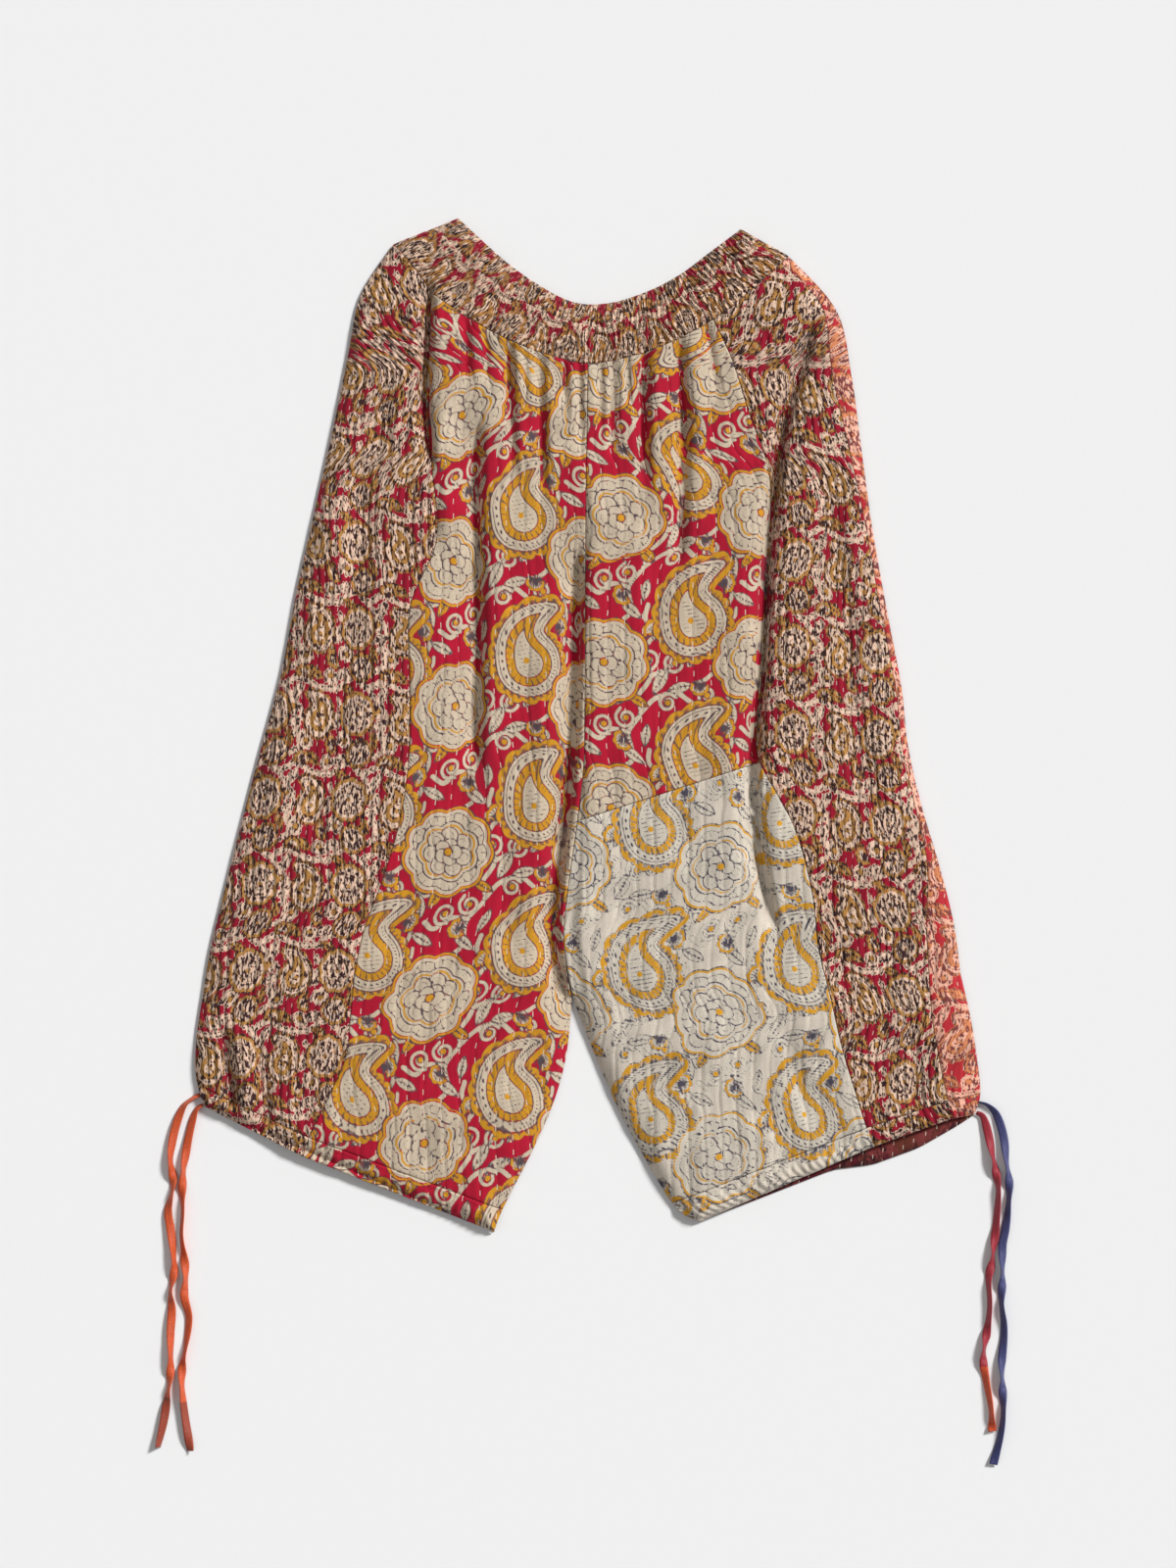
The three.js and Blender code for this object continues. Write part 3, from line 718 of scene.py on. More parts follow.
class Face(Enum):
    """Which side of a piece carries the fine mesh."""

    UP = "up"
    DOWN = "down"


def place(name: str, data: bpy.types.ID) -> bpy.types.Object:
    """Puts a new object into the scene.

    Args:
        name: its name.
        data: its mesh, lamp or camera.

    Returns:
        The object.
    """
    obj = bpy.data.objects.new(name, data)
    bpy.context.scene.collection.objects.link(obj)
    return obj


def smooth_mesh(name: str, verts: np.ndarray, faces: list[list[int]], layers: dict[str, np.ndarray]) -> bpy.types.Mesh:
    """A smooth mesh with vectors kept at its points.

    Args:
        name: its name.
        verts: points in millimetres.
        faces: point numbers of each face.
        layers: vectors for the finish, one for each point.

    Returns:
        The mesh.
    """
    mesh = bpy.data.meshes.new(name)
    mesh.from_pydata((verts * MM).tolist(), [], faces)
    for key, value in layers.items():
        layer = mesh.attributes.new(key, "FLOAT_VECTOR", "POINT")
        layer.data.foreach_set("vector", value.astype(np.float32).ravel())
    mesh.polygons.foreach_set("use_smooth", [True] * len(faces))
    return mesh


def shell_mesh(name: str, grid: np.ndarray, fine: np.ndarray, wall: float, stride: int, face: Face,
               layers: dict[str, np.ndarray], zone: np.ndarray | None = None) -> bpy.types.Object:
    """A closed thin shell with a fine outer face, a coarse inner face and a rim.

    Args:
        name: name of the piece.
        grid: rows by columns by [x, y].
        fine: height of the outer face for each point.
        wall: thickness.
        stride: the inner face uses every stride-th point.
        face: which way the outer face looks.
        layers: vectors kept for the finish, one for each point.
        zone: material number for each point, or None.

    Returns:
        The new object.
    """
    rows, cols = fine.shape
    sign = 1.0 if face is Face.UP else -1.0
    top = np.dstack([grid, fine])
    low = top[::stride, ::stride].copy()
    low[..., 2] -= sign * wall
    lr, lc = low.shape[:2]
    verts = np.vstack([top.reshape(-1, 3), low.reshape(-1, 3)])
    verts[:, 0] += CENTRE[0]
    verts[:, 1] += CENTRE[1]
    start = rows * cols
    index = np.arange(start).reshape(rows, cols)
    quads = np.stack([index[:-1, :-1], index[1:, :-1], index[1:, 1:], index[:-1, 1:]], -1).reshape(-1, 4)
    under = start + np.arange(lr * lc).reshape(lr, lc)
    lows = np.stack([under[:-1, :-1], under[:-1, 1:], under[1:, 1:], under[1:, :-1]], -1).reshape(-1, 4)
    ring = [(r, 0) for r in range(0, lr - 1)] + [(lr - 1, c) for c in range(0, lc - 1)]
    ring += [(r, lc - 1) for r in range(lr - 1, 0, -1)] + [(0, c) for c in range(lc - 1, 0, -1)]
    rims = []
    for k, (r0, c0) in enumerate(ring):
        r1, c1 = ring[(k + 1) % len(ring)]
        steps = range(stride, -1, -1)
        outer = [int(index[r0 * stride + (r1 - r0) * s, c0 * stride + (c1 - c0) * s]) for s in steps]
        rims.append([int(under[r0, c0]), int(under[r1, c1])] + outer)
    faces = quads.tolist() + lows.tolist() + rims
    if face is Face.DOWN:
        faces = [f[::-1] for f in faces]
    kept = {key: np.vstack([value.reshape(-1, 3), value[::stride, ::stride].reshape(-1, 3)])
            for key, value in layers.items()}
    mesh = smooth_mesh(name, verts, faces, kept)
    if zone is not None:
        numbers = np.concatenate([zone.reshape(-1), zone[::stride, ::stride].reshape(-1)])
        mesh.polygons.foreach_set("material_index", [int(numbers[f[0]]) for f in faces])
    mesh.update()
    return place(name, mesh)


class PrintedCotton:
    """Shared shader groups: the inks, the weave and the running stitch, each built once."""

    def __init__(self) -> None:
        self.inks = self._inks()
        self.weave = self._weave()
        self.stitch = self._stitch()

    @staticmethod
    def _group(name: str, inputs: list[tuple], outputs: list[tuple]) -> bpy.types.NodeTree:
        """Starts a node group.

        Args:
            name: name of the group.
            inputs: (name, socket type, value or None) for each input.
            outputs: (name, socket type) for each output.

        Returns:
            The group with its input and output nodes.
        """
        tree = bpy.data.node_groups.new(name, "ShaderNodeTree")
        for label, kind, value in inputs:
            socket = tree.interface.new_socket(label, in_out="INPUT", socket_type=kind)
            if value is not None:
                socket.default_value = value
        for label, kind in outputs:
            tree.interface.new_socket(label, in_out="OUTPUT", socket_type=kind)
        tree.nodes.new("NodeGroupInput").name = "in"
        tree.nodes.new("NodeGroupOutput").name = "out"
        return tree

    @staticmethod
    def math(tree: bpy.types.NodeTree, kind: str, a, b=None) -> bpy.types.NodeSocket:
        """Adds a math node.

        Args:
            tree: where it goes.
            kind: its operation.
            a: a socket or a number.
            b: a socket, a number or None.

        Returns:
            Its output.
        """
        node = tree.nodes.new("ShaderNodeMath")
        node.operation = kind
        for k, value in enumerate((a, b)):
            if value is None:
                continue
            if isinstance(value, (int, float)):
                node.inputs[k].default_value = value
            else:
                tree.links.new(value, node.inputs[k])
        return node.outputs[0]

    @staticmethod
    def mix(tree: bpy.types.NodeTree, share, a, b, blend: str = "MIX") -> bpy.types.NodeSocket:
        """Adds a colour mix.

        Args:
            tree: where it goes.
            share: socket or number.
            a: first colour, socket or value.
            b: second colour, socket or value.
            blend: how they mix.

        Returns:
            Its output.
        """
        node = tree.nodes.new("ShaderNodeMix")
        node.data_type = "RGBA"
        node.blend_type = blend
        for socket, value in ((node.inputs[0], share), (node.inputs[6], a), (node.inputs[7], b)):
            if isinstance(value, (int, float, tuple)):
                socket.default_value = value
            else:
                tree.links.new(value, socket)
        return node.outputs[2]

    @staticmethod
    def noise(tree: bpy.types.NodeTree, vector, scale: float, detail: float = 2.0) -> bpy.types.NodeSocket:
        """Adds a noise.

        Args:
            tree: where it goes.
            vector: socket with its coordinates.
            scale: how fine it is.
            detail: how many finer layers it has.

        Returns:
            Its value.
        """
        node = tree.nodes.new("ShaderNodeTexNoise")
        node.inputs["Scale"].default_value = scale
        node.inputs["Detail"].default_value = detail
        tree.links.new(vector, node.inputs["Vector"])
        return node.outputs[0]

    @staticmethod
    def stretch(tree: bpy.types.NodeTree, vector, scale: tuple[float, float, float]) -> bpy.types.NodeSocket:
        """Stretches coordinates.

        Args:
            tree: where it goes.
            vector: socket with the coordinates.
            scale: factor on each axis.

        Returns:
            The stretched coordinates.
        """
        node = tree.nodes.new("ShaderNodeVectorMath")
        node.operation = "MULTIPLY"
        node.inputs[1].default_value = scale
        tree.links.new(vector, node.inputs[0])
        return node.outputs[0]

    @staticmethod
    def bump(tree: bpy.types.NodeTree, height, strength: float, distance: float, normal=None) -> bpy.types.NodeSocket:
        """Adds a bump.

        Args:
            tree: where it goes.
            height: socket with its height.
            strength: its strength.
            distance: its depth in millimetres.
            normal: socket with the normal under it, or None.

        Returns:
            The bumped normal.
        """
        node = tree.nodes.new("ShaderNodeBump")
        node.inputs["Strength"].default_value = strength
        node.inputs["Distance"].default_value = distance * MM
        tree.links.new(height, node.inputs["Height"])
        if normal is not None:
            tree.links.new(normal, node.inputs["Normal"])
        return node.outputs[0]

    def _inks(self) -> bpy.types.NodeTree:
        """The three inks over the ground cloth, from the distances kept on the mesh.

        Returns:
            The group.
        """
        tree = self._group("printed inks", [
            ("Print", "NodeSocketVector", None), ("Cloth", "NodeSocketVector", None),
            ("Ground", "NodeSocketColor", None), ("Fill", "NodeSocketColor", None),
            ("Gold", "NodeSocketColor", None), ("Line", "NodeSocketColor", None),
            ("Bleed", "NodeSocketFloat", 0.3), ("Ragged", "NodeSocketFloat", 0.3)],
            [("Color", "NodeSocketColor")])
        start, end = tree.nodes["in"], tree.nodes["out"]
        split = tree.nodes.new("ShaderNodeSeparateXYZ")
        tree.links.new(start.outputs["Print"], split.inputs[0])
        noise = self.noise(tree, self.stretch(tree, start.outputs["Cloth"], (1.7, 0.6, 1.0)), 0.3, 3)
        ragged = self.math(tree, "MULTIPLY", self.math(tree, "SUBTRACT", noise, 0.5), start.outputs["Ragged"])
        color = start.outputs["Ground"]
        for axis, ink in enumerate(("Fill", "Gold", "Line")):
            distance = self.math(tree, "ADD", split.outputs[axis], ragged)
            edge = tree.nodes.new("ShaderNodeMapRange")
            edge.interpolation_type = "SMOOTHSTEP"
            tree.links.new(distance, edge.inputs["Value"])
            tree.links.new(start.outputs["Bleed"], edge.inputs["From Min"])
            tree.links.new(self.math(tree, "MULTIPLY", start.outputs["Bleed"], -1.0), edge.inputs["From Max"])
            color = self.mix(tree, edge.outputs[0], color, start.outputs[ink])
        tree.links.new(color, end.inputs["Color"])
        return tree

    def _weave(self) -> bpy.types.NodeTree:
        """Fine uneven yarns and washed patches.

        Returns:
            The group.
        """
        tree = self._group("cotton weave", [("Cloth", "NodeSocketVector", None)],
                           [("Height", "NodeSocketFloat"), ("Tone", "NodeSocketFloat")])
        start, end = tree.nodes["in"], tree.nodes["out"]
        cloth = start.outputs["Cloth"]
        warp, weft = (self.noise(tree, self.stretch(tree, cloth, scale), 0.9, 3)
                      for scale in ((1.9, 0.5, 1.0), (0.5, 1.9, 1.0)))
        tree.links.new(self.math(tree, "ADD", warp, weft), end.inputs["Height"])
        patches = self.math(tree, "MULTIPLY", self.noise(tree, cloth, 0.035, 5), 0.6)
        speckle = self.math(tree, "MULTIPLY", self.noise(tree, cloth, 0.8), 0.4)
        both = self.math(tree, "ADD", patches, speckle)
        tree.links.new(both, end.inputs["Tone"])
        return tree

    def _stitch(self) -> bpy.types.NodeTree:
        """Rows of running stitch up and down the cloth, with the puckers they pull.

        Returns:
            The group.
        """
        tree = self._group("running stitch", [
            ("Cloth", "NodeSocketVector", None), ("Rows", "NodeSocketFloat", 14.0),
            ("Pitch", "NodeSocketFloat", 11.0), ("Length", "NodeSocketFloat", 0.36),
            ("Thread", "NodeSocketFloat", 0.55)],
            [("Mask", "NodeSocketFloat"), ("Height", "NodeSocketFloat")])
        start, end = tree.nodes["in"], tree.nodes["out"]
        split = tree.nodes.new("ShaderNodeSeparateXYZ")
        tree.links.new(start.outputs["Cloth"], split.inputs[0])
        wander = self.noise(tree, start.outputs["Cloth"], 0.02)
        across = self.math(tree, "ADD", split.outputs[0], self.math(tree, "MULTIPLY", wander, 9.0))
        row = self.math(tree, "DIVIDE", across, start.outputs["Rows"])
        number = self.math(tree, "FLOOR", row)
        off = self.math(tree, "ABSOLUTE", self.math(tree, "SUBTRACT", self.math(tree, "FRACT", row), 0.5))
        off = self.math(tree, "MULTIPLY", off, start.outputs["Rows"])
        shift = self.math(tree, "FRACT", self.math(tree, "MULTIPLY", number, 0.618))
        along = self.math(tree, "ADD", self.math(tree, "DIVIDE", split.outputs[1], start.outputs["Pitch"]), shift)
        dash = self.math(tree, "LESS_THAN", self.math(tree, "FRACT", along), start.outputs["Length"])
        thin = self.math(tree, "LESS_THAN", off, start.outputs["Thread"])
        tree.links.new(self.math(tree, "MULTIPLY", dash, thin), end.inputs["Mask"])
        valley = self.math(tree, "MINIMUM", self.math(tree, "DIVIDE", off, 2.6), 1.0)
        tree.links.new(valley, end.inputs["Height"])
        return tree


@dataclass(frozen=True)
class Cotton:
    """One colourway of the printed cotton.

    Attributes:
        name: name of its material.
        ground: dye of the cloth.
        fill: pale ink.
        gold: mustard or tan ink.
        line: dark ink.
        ragged: how uneven the print's edges are.
        rows: distance between rows of stitches.
        pitch: stitch and gap together.
        thread: half the thread's width.
        pucker: height of the pulls at the stitches.
        grow: how far the pale ink spreads past its shapes.
    """

    name: str
    ground: tuple[int, int, int]
    fill: tuple[int, int, int]
    gold: tuple[int, int, int]
    line: tuple[int, int, int]
    ragged: float = 1.0
    rows: float = 14.0
    pitch: float = 12.0
    thread: float = 0.5
    pucker: float = 0.5
    grow: float = 0.0

    def material(self, shared: PrintedCotton) -> bpy.types.Material:
        """Makes the material.

        Args:
            shared: the shared groups.

        Returns:
            The material.
        """
        material = bpy.data.materials.new(self.name)
        material.use_nodes = True
        tree = material.node_tree
        surface = tree.nodes["Principled BSDF"]
        layers = {}
        for key in ("print", "cloth"):
            layers[key] = tree.nodes.new("ShaderNodeAttribute")
            layers[key].attribute_name = key
        groups = {}
        for key, group in (("inks", shared.inks), ("weave", shared.weave), ("stitch", shared.stitch)):
            groups[key] = tree.nodes.new("ShaderNodeGroup")
            groups[key].node_tree = group
            tree.links.new(layers["cloth"].outputs["Vector"], groups[key].inputs["Cloth"])
        tree.links.new(layers["print"].outputs["Vector"], groups["inks"].inputs["Print"])
        for socket, value in (("Ground", self.ground), ("Fill", self.fill), ("Gold", self.gold), ("Line", self.line)):
            groups["inks"].inputs[socket].default_value = srgb(*value)
        groups["inks"].inputs["Ragged"].default_value = self.ragged
        groups["stitch"].inputs["Rows"].default_value = self.rows
        groups["stitch"].inputs["Pitch"].default_value = self.pitch
        groups["stitch"].inputs["Thread"].default_value = self.thread
        tone = tree.nodes.new("ShaderNodeMapRange")
        tone.inputs["From Min"].default_value = 0.3
        tone.inputs["From Max"].default_value = 0.7
        tone.inputs["To Min"].default_value = 0.72
        tone.inputs["To Max"].default_value = 1.16
        tree.links.new(groups["weave"].outputs["Tone"], tone.inputs["Value"])
        washed = PrintedCotton.mix(tree, 1.0, groups["inks"].outputs["Color"], tone.outputs[0], "MULTIPLY")
        sewn = PrintedCotton.mix(tree, groups["stitch"].outputs["Mask"], washed, srgb(206, 190, 172))
        tree.links.new(sewn, surface.inputs["Base Color"])
        surface.inputs["Roughness"].default_value = 0.88
        surface.inputs["Specular IOR Level"].default_value = 0.2
        surface.inputs["Sheen Weight"].default_value = 0.12
        surface.inputs["Sheen Roughness"].default_value = 0.5
        fine = PrintedCotton.bump(tree, groups["weave"].outputs["Height"], 0.5, 0.25)
        pull = PrintedCotton.bump(tree, groups["stitch"].outputs["Height"], 0.8, self.pucker, fine)
        tree.links.new(pull, surface.inputs["Normal"])
        return material


CRIMSON = Cotton("crimson print", (176, 16, 46), (204, 186, 162), (204, 144, 34), (84, 70, 74), 1.0, 14.0, 12.0, 0.36,
                 0.7, 0.25)
CREAM_WAY = Cotton("cream print", (212, 200, 184), (206, 196, 180), (208, 150, 40), (74, 68, 80), 1.0, 14.0, 12.0,
                   0.3, 0.7)
SIDE_WAY = Cotton("side print", (148, 14, 40), (224, 190, 166), (178, 128, 66), (58, 32, 32), 7.0, 7.0, 9.0, 0.3, 1.2,
                  1.5)
BAND_WAY = Cotton("band print", (140, 14, 38), (226, 192, 166), (176, 122, 62), (52, 28, 30), 6.0, 5.0, 9.0, 0.15, 0.8,
                  1.6)
SALMON_WAY = Cotton("back print", (176, 40, 48), (232, 172, 148), (206, 128, 86), (120, 60, 58), 6.0, 9.0, 9.0, 0.3,
                    1.0, 1.6)
# The inside face of the back cloth: the back print at about half its brightness, painted shade.
SHADED_INSIDE_WAY = Cotton("inside of the cloth, painted shade", (96, 18, 34), (122, 52, 50), (104, 48, 36), (58, 20, 28), 3.0, 9.0, 9.0, 0.3)


@dataclass
class Panel:
    """One cut piece of cloth of the legs.

    Attributes:
        name: name of the piece.
        node: CAD node it stands for.
        left: column on its left.
        right: column on its right.
        first: section where it starts.
        last: section where it ends.
        sag: row of SAG.
        cotton: its colourway.
        tile: which repeat is on it.
        offset: where the repeat starts.
        slot: material slot, not used.
        puckers: height of the fine pulls.
        gather: cloth taken up across, as a share.
        step: spacing of the outer points.
        stride: the inner face uses every stride-th point.
    """

    name: str
    node: str
    left: str
    right: str
    first: float
    last: float
    sag: str
    cotton: Cotton
    tile: str
    offset: tuple[float, float]
    slot: str
    puckers: float = 0.0
    gather: float = 1.0
    step: float = 1.35
    stride: int = 6

    def build(self, drape: Drape, tiles: dict[str, Tile], shared: dict[str, bpy.types.Material]) -> bpy.types.Object:
        """Makes the piece and dresses it.

        Args:
            drape: the lie of the cloth.
            tiles: the repeats.
            shared: materials by name.

        Returns:
            The piece.
        """
        grid = grid_between(self.left, self.right, self.first, self.last, self.step, self.sag, self.stride)
        grid = inset(grid, SEAM_GAP)
        x, y = grid[..., 0], grid[..., 1]
        height, taken = drape.height(x, y)
        s = x * self.gather + taken + self.offset[0]
        t = y + self.offset[1] + 2.5 * np.sin(x / 31)
        if self.puckers:
            pull = np.sin(2 * math.pi * (x + 3 * np.sin(y / 47)) / 6.6 + 1.7 * np.sin(y / 23 + x / 9))
            calm = 1 - np.exp(-distance_to_line(x, y, drape.edge) / 5)
            height = height + self.puckers * calm * pull * (0.7 + 0.3 * np.sin(y / 11 + x / 5))
        edge_roll = np.minimum(1, rim_distance(grid) / 2.2)
        height = height - 0.5 * (1 - edge_roll) ** 2
        height = np.maximum(height, BACK_WALL + LAYER_GAP)
        layers = {"print": tiles[self.tile].sample(s, t, self.cotton.grow), "cloth": np.dstack([s, y, 0 * x])}
        piece = shell_mesh(self.name, grid, height + FRONT_WALL, FRONT_WALL, self.stride, Face.UP, layers)
        piece.data.materials.append(shared[self.cotton.name])
        declare_cloth(piece, [self.node])
        return piece


def inset(grid: np.ndarray, gap: float) -> np.ndarray:
    """Moves a grid's outer points in by half of a gap.

    Args:
        grid: rows by columns by [x, y].
        gap: the space between two pieces.

    Returns:
        The moved grid.
    """
    out = grid.copy()
    for axis in (0, 1):
        for edge, inner in ((0, 1), (-1, -2)):
            a = np.take(grid, edge, axis)
            b = np.take(grid, inner, axis)
            way = (b - a) / np.maximum(np.linalg.norm(b - a, axis=-1, keepdims=True), 1e-9)
            if axis == 0:
                out[edge] += way * gap / 2
            else:
                out[:, edge] += way * gap / 2
    return out


def rim_distance(grid: np.ndarray) -> np.ndarray:
    """Rough distance of each point to its piece's own edge.

    Args:
        grid: rows by columns by [x, y].

    Returns:
        One distance for each point.
    """
    rows, cols = grid.shape[:2]
    across = np.linalg.norm(grid[:, -1] - grid[:, 0], axis=-1) / (cols - 1)
    up = np.linalg.norm(grid[-1] - grid[0], axis=-1) / (rows - 1)
    c = np.minimum(np.arange(cols), cols - 1 - np.arange(cols))[None, :] * across[:, None]
    r = np.minimum(np.arange(rows), rows - 1 - np.arange(rows))[:, None] * up[None, :]
    return np.minimum(c, r)


def declare_cloth(piece: bpy.types.Object, nodes: list[str]) -> None:
    """Says where a piece belongs and hides the CAD nodes it stands for.

    Args:
        piece: the piece.
        nodes: CAD nodes it stands for.
    """
    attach(piece, "root")
    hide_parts(*nodes)


@dataclass
class Casing:
    """A folded hem that holds the drawstring.

    Attributes:
        name: name of the piece.
        node: CAD node it stands for.
        spans: (left column, right column, colourway, tile) from left to right.
        offset: where the repeat starts.
        slot: material slot, not used.
    """

    name: str
    node: str
    spans: tuple
    offset: tuple[float, float]
    slot: str

    def build(self, drape: Drape, tiles: dict[str, Tile], shared: dict[str, bpy.types.Material]) -> bpy.types.Object:
        """Makes the casing with a roll, a stitched line and small gathers.

        Args:
            drape: the lie of the cloth.
            tiles: the repeats.
            shared: materials by name.

        Returns:
            The piece.
        """
        stride = 4
        grids = [grid_between(a, b, CASING, HEM, 1.0, "strip", stride) for a, b, _, _ in self.spans]
        rows = min(g.shape[0] for g in grids)
        grids = [g[np.linspace(0, g.shape[0] - 1, rows).round().astype(int)] for g in grids]
        zone = np.concatenate([np.full(g.shape[1] - (k > 0), k) for k, g in enumerate(grids)])
        grid = np.concatenate([g if k == 0 else g[:, 1:] for k, g in enumerate(grids)], axis=1)
        grid = inset(grid, SEAM_GAP)
        rows, cols = grid.shape[:2]
        x, y = grid[..., 0], grid[..., 1]
        height, taken = drape.height(x, y)
        down = np.linspace(0, 1, rows)[:, None]
        run = np.cumsum(np.linalg.norm(np.diff(grid[0], axis=0, prepend=grid[0][:1]), axis=-1))[None, :]
        roll = 2.2 * np.abs(np.sin(math.pi * down)) ** 0.7
        gathers = 0.55 * np.sin(2 * math.pi * run / 7.5 + 2.3 * np.sin(run / 19)) * np.sin(math.pi * down)
        crease = 0.9 * np.exp(-((down - 0.1) / 0.06) ** 2)
        height = np.maximum(height + roll + gathers - crease, BACK_WALL + LAYER_GAP)
        s = x + taken + self.offset[0]
        t = y + self.offset[1]
        ink = np.zeros(grid.shape[:2] + (3,))
        for k, span in enumerate(self.spans):
            ink[:, zone == k] = tiles[span[3]].sample(s, t, span[2].grow)[:, zone == k]
        layers = {"print": ink, "cloth": np.dstack([s, y, 0 * x])}
        picks = np.broadcast_to(zone[None, :], (rows, cols))
        piece = shell_mesh(self.name, grid, height + FRONT_WALL, FRONT_WALL, stride, Face.UP, layers, picks)
        for span in self.spans:
            piece.data.materials.append(shared[span[2].name])
        declare_cloth(piece, [self.node])
        return piece


@dataclass
class Waistband:
    """The shirred band: rows of thin elastic gather it into fine ridges.

    Attributes:
        rows_of_elastic: how many rows pull it in.
        ridge: distance between two ridges.
        relief: height of the ridges.
        gather: how much the print is drawn in.
        cut: cloth that its ridges hold, for its length when laid, not used.
    """

    rows_of_elastic: float = 8.5
    ridge: float = 4.6
    relief: float = 1.7
    gather: float = 1.8
    cut: float = 1.25

    def seam(self) -> np.ndarray:
        """The line where the band meets the panels.

        Returns:
            Points [x, y] from left to right.
        """
        spans = (("outL", "seamL", "sideLeft"), ("seamL", "midL", "frontLeft"), ("midR", "seamR", "frontRight"),
                 ("seamR", "strip", "sideRight"), ("strip", "outR", "strip"))
        lines = [grid_between(a, b, 0, 0.01, 2.0, sag, 1)[0] for a, b, sag in spans]
        return np.vstack([line if k == 0 else line[1:] for k, line in enumerate(lines)])

    def build(self, drape: Drape, tiles: dict[str, Tile], shared: dict[str, bpy.types.Material]) -> bpy.types.Object:
        """Makes the front of the band.

        Args:
            drape: the lie of the cloth.
            tiles: the repeats.
            shared: materials by name.

        Returns:
            The piece.
        """
        stride = 5
        cols, rows = 385 + 1, 60 + 1
        low = spread(self.seam(), cols)
        high = spread(smooth_path(np.array(BAND_TOP), 6), cols)
        share = np.linspace(0, 1, rows)[:, None, None]
        grid = inset(high[None] + (low - high)[None] * share, SEAM_GAP)
        x, y = grid[..., 0], grid[..., 1]
        height, _ = drape.height(x, y)
        down = share[..., 0]
        run = np.linspace(0, BAND_RUN, cols)[None, :]
        wander = 1.6 * np.sin(run / 13 + 5 * down) + 1.1 * np.sin(run / 5.3 - 9 * down + 1)
        ridges = np.abs(np.sin(math.pi * (run + wander) / self.ridge)) ** 0.8
        pinch = 0.45 + 0.55 * np.abs(np.sin(math.pi * self.rows_of_elastic * down)) ** 0.6
        uneven = 0.75 + 0.25 * np.sin(run / 7.7 + 11 * down)
        height = height * 0.82 + self.relief * 2 * ridges * pinch * uneven
        height = np.maximum(height - 1.2 * np.exp(-((down - 1) / 0.03) ** 2), BACK_WALL + LAYER_GAP)
        s = run * self.gather + wander * 1.5 + 0 * down
        t = BAND_PRINT_TOP - down * BAND_PRINT_DEPTH + 0 * run
        layers = {"print": tiles["border"].sample(s, t, BAND_WAY.grow), "cloth": np.dstack([s, t, 0 * s])}
        piece = shell_mesh("waistband_front_cloth", grid, height + FRONT_WALL, FRONT_WALL, stride, Face.UP, layers)
        piece.data.materials.append(shared[BAND_WAY.name])
        declare_cloth(piece, ["waistband_front"])
        return piece

    def build_back(self, tiles: dict[str, Tile], shared: dict[str, bpy.types.Material]) -> bpy.types.Object:
        """Makes the back of the band, flat on the floor.

        Args:
            tiles: the repeats.
            shared: materials by name.

        Returns:
            The piece.
        """
        stride = 4
        left = grid_between("outL", "midL", 0, 0.01, 2.0, "back", 1)[0]
        right = grid_between("midR", "outR", 0, 0.01, 2.0, "back", 1)[0]
        cols, rows = 240 + 1, 36 + 1
        low = spread(np.vstack([left, right[1:]]), cols)
        high = spread(smooth_path(np.array(BAND_TOP), 6), cols)
        share = np.linspace(0, 1, rows)[:, None, None]
        grid = inset(high[None] + (low - high)[None] * share, SEAM_GAP)
        run = np.linspace(0, BAND_RUN, cols)[None, :]
        down = share[..., 0]
        fine = 0.04 + 0.5 * (1 - np.abs(np.sin(math.pi * (run + np.sin(run / 9 + 5 * down)) / self.ridge))) + 0 * down
        s = run * self.gather + 0 * down
        t = BAND_PRINT_TOP - down * BAND_PRINT_DEPTH + 0 * run
        layers = {"print": tiles["border"].sample(s, t, BAND_WAY.grow), "cloth": np.dstack([s, t, 0 * s])}
        piece = shell_mesh("waistband_back_cloth", grid, fine, BACK_WALL - 0.6, stride, Face.DOWN, layers)
        piece.data.materials.append(shared[BAND_WAY.name])
        declare_cloth(piece, ["waistband_back"])
        return piece


def spread(path: np.ndarray, count: int) -> np.ndarray:
    """Points at equal steps along a line.

    Args:
        path: corners.
        count: how many points.

    Returns:
        The points.
    """
    run = np.concatenate([[0], np.cumsum(np.linalg.norm(np.diff(path, axis=0), axis=-1))])
    want = np.linspace(0, run[-1], count)
    return np.stack([np.interp(want, run, path[:, 0]), np.interp(want, run, path[:, 1])], -1)


@dataclass
class BackPanel:
    """A piece of the back, flat on the floor, printed on its underside, with painted shade on its upper inside face.

    Attributes:
        name: name of the piece.
        node: CAD node it stands for.
        left: column on its left.
        right: column on its right.
        first: section where it starts.
        last: section where it ends.
        drop: 1 where the hem hangs below the front's.
    """

    name: str
    node: str
    left: str
    right: str
    first: float
    last: float
    drop: float = 0.0

    def build(self, tiles: dict[str, Tile], shared: dict[str, bpy.types.Material]) -> bpy.types.Object:
        """Makes the piece.

        Args:
            tiles: the repeats.
            shared: materials by name.

        Returns:
            The piece.
        """
        stride = 4
        grid = grid_between(self.left, self.right, self.first, self.last, 2.4, "back", stride, self.drop)
        grid = inset(grid, SEAM_GAP)
        x, y = grid[..., 0], grid[..., 1]
        fine = np.full(x.shape, 0.02) + 0.02 * (1 + np.sin(x / 6) * np.sin(y / 17))
        s, t = -x * 1.05, y
        layers = {"print": tiles["border"].sample(s, t, SALMON_WAY.grow), "cloth": np.dstack([s, t, 0 * x])}
        piece = shell_mesh(self.name, grid, fine, BACK_WALL - 0.1, stride, Face.DOWN, layers)
        piece.data.materials.append(shared[SALMON_WAY.name])
        # The upper inside face and the rim of each back piece take the darkened back print, painted shade.
        piece.data.materials.append(shared[SHADED_INSIDE_WAY.name])
        outer = (grid.shape[0] - 1) * (grid.shape[1] - 1)
        count = len(piece.data.polygons)
        piece.data.polygons.foreach_set("material_index", [int(k >= outer) for k in range(count)])
        declare_cloth(piece, [self.node])
        return piece


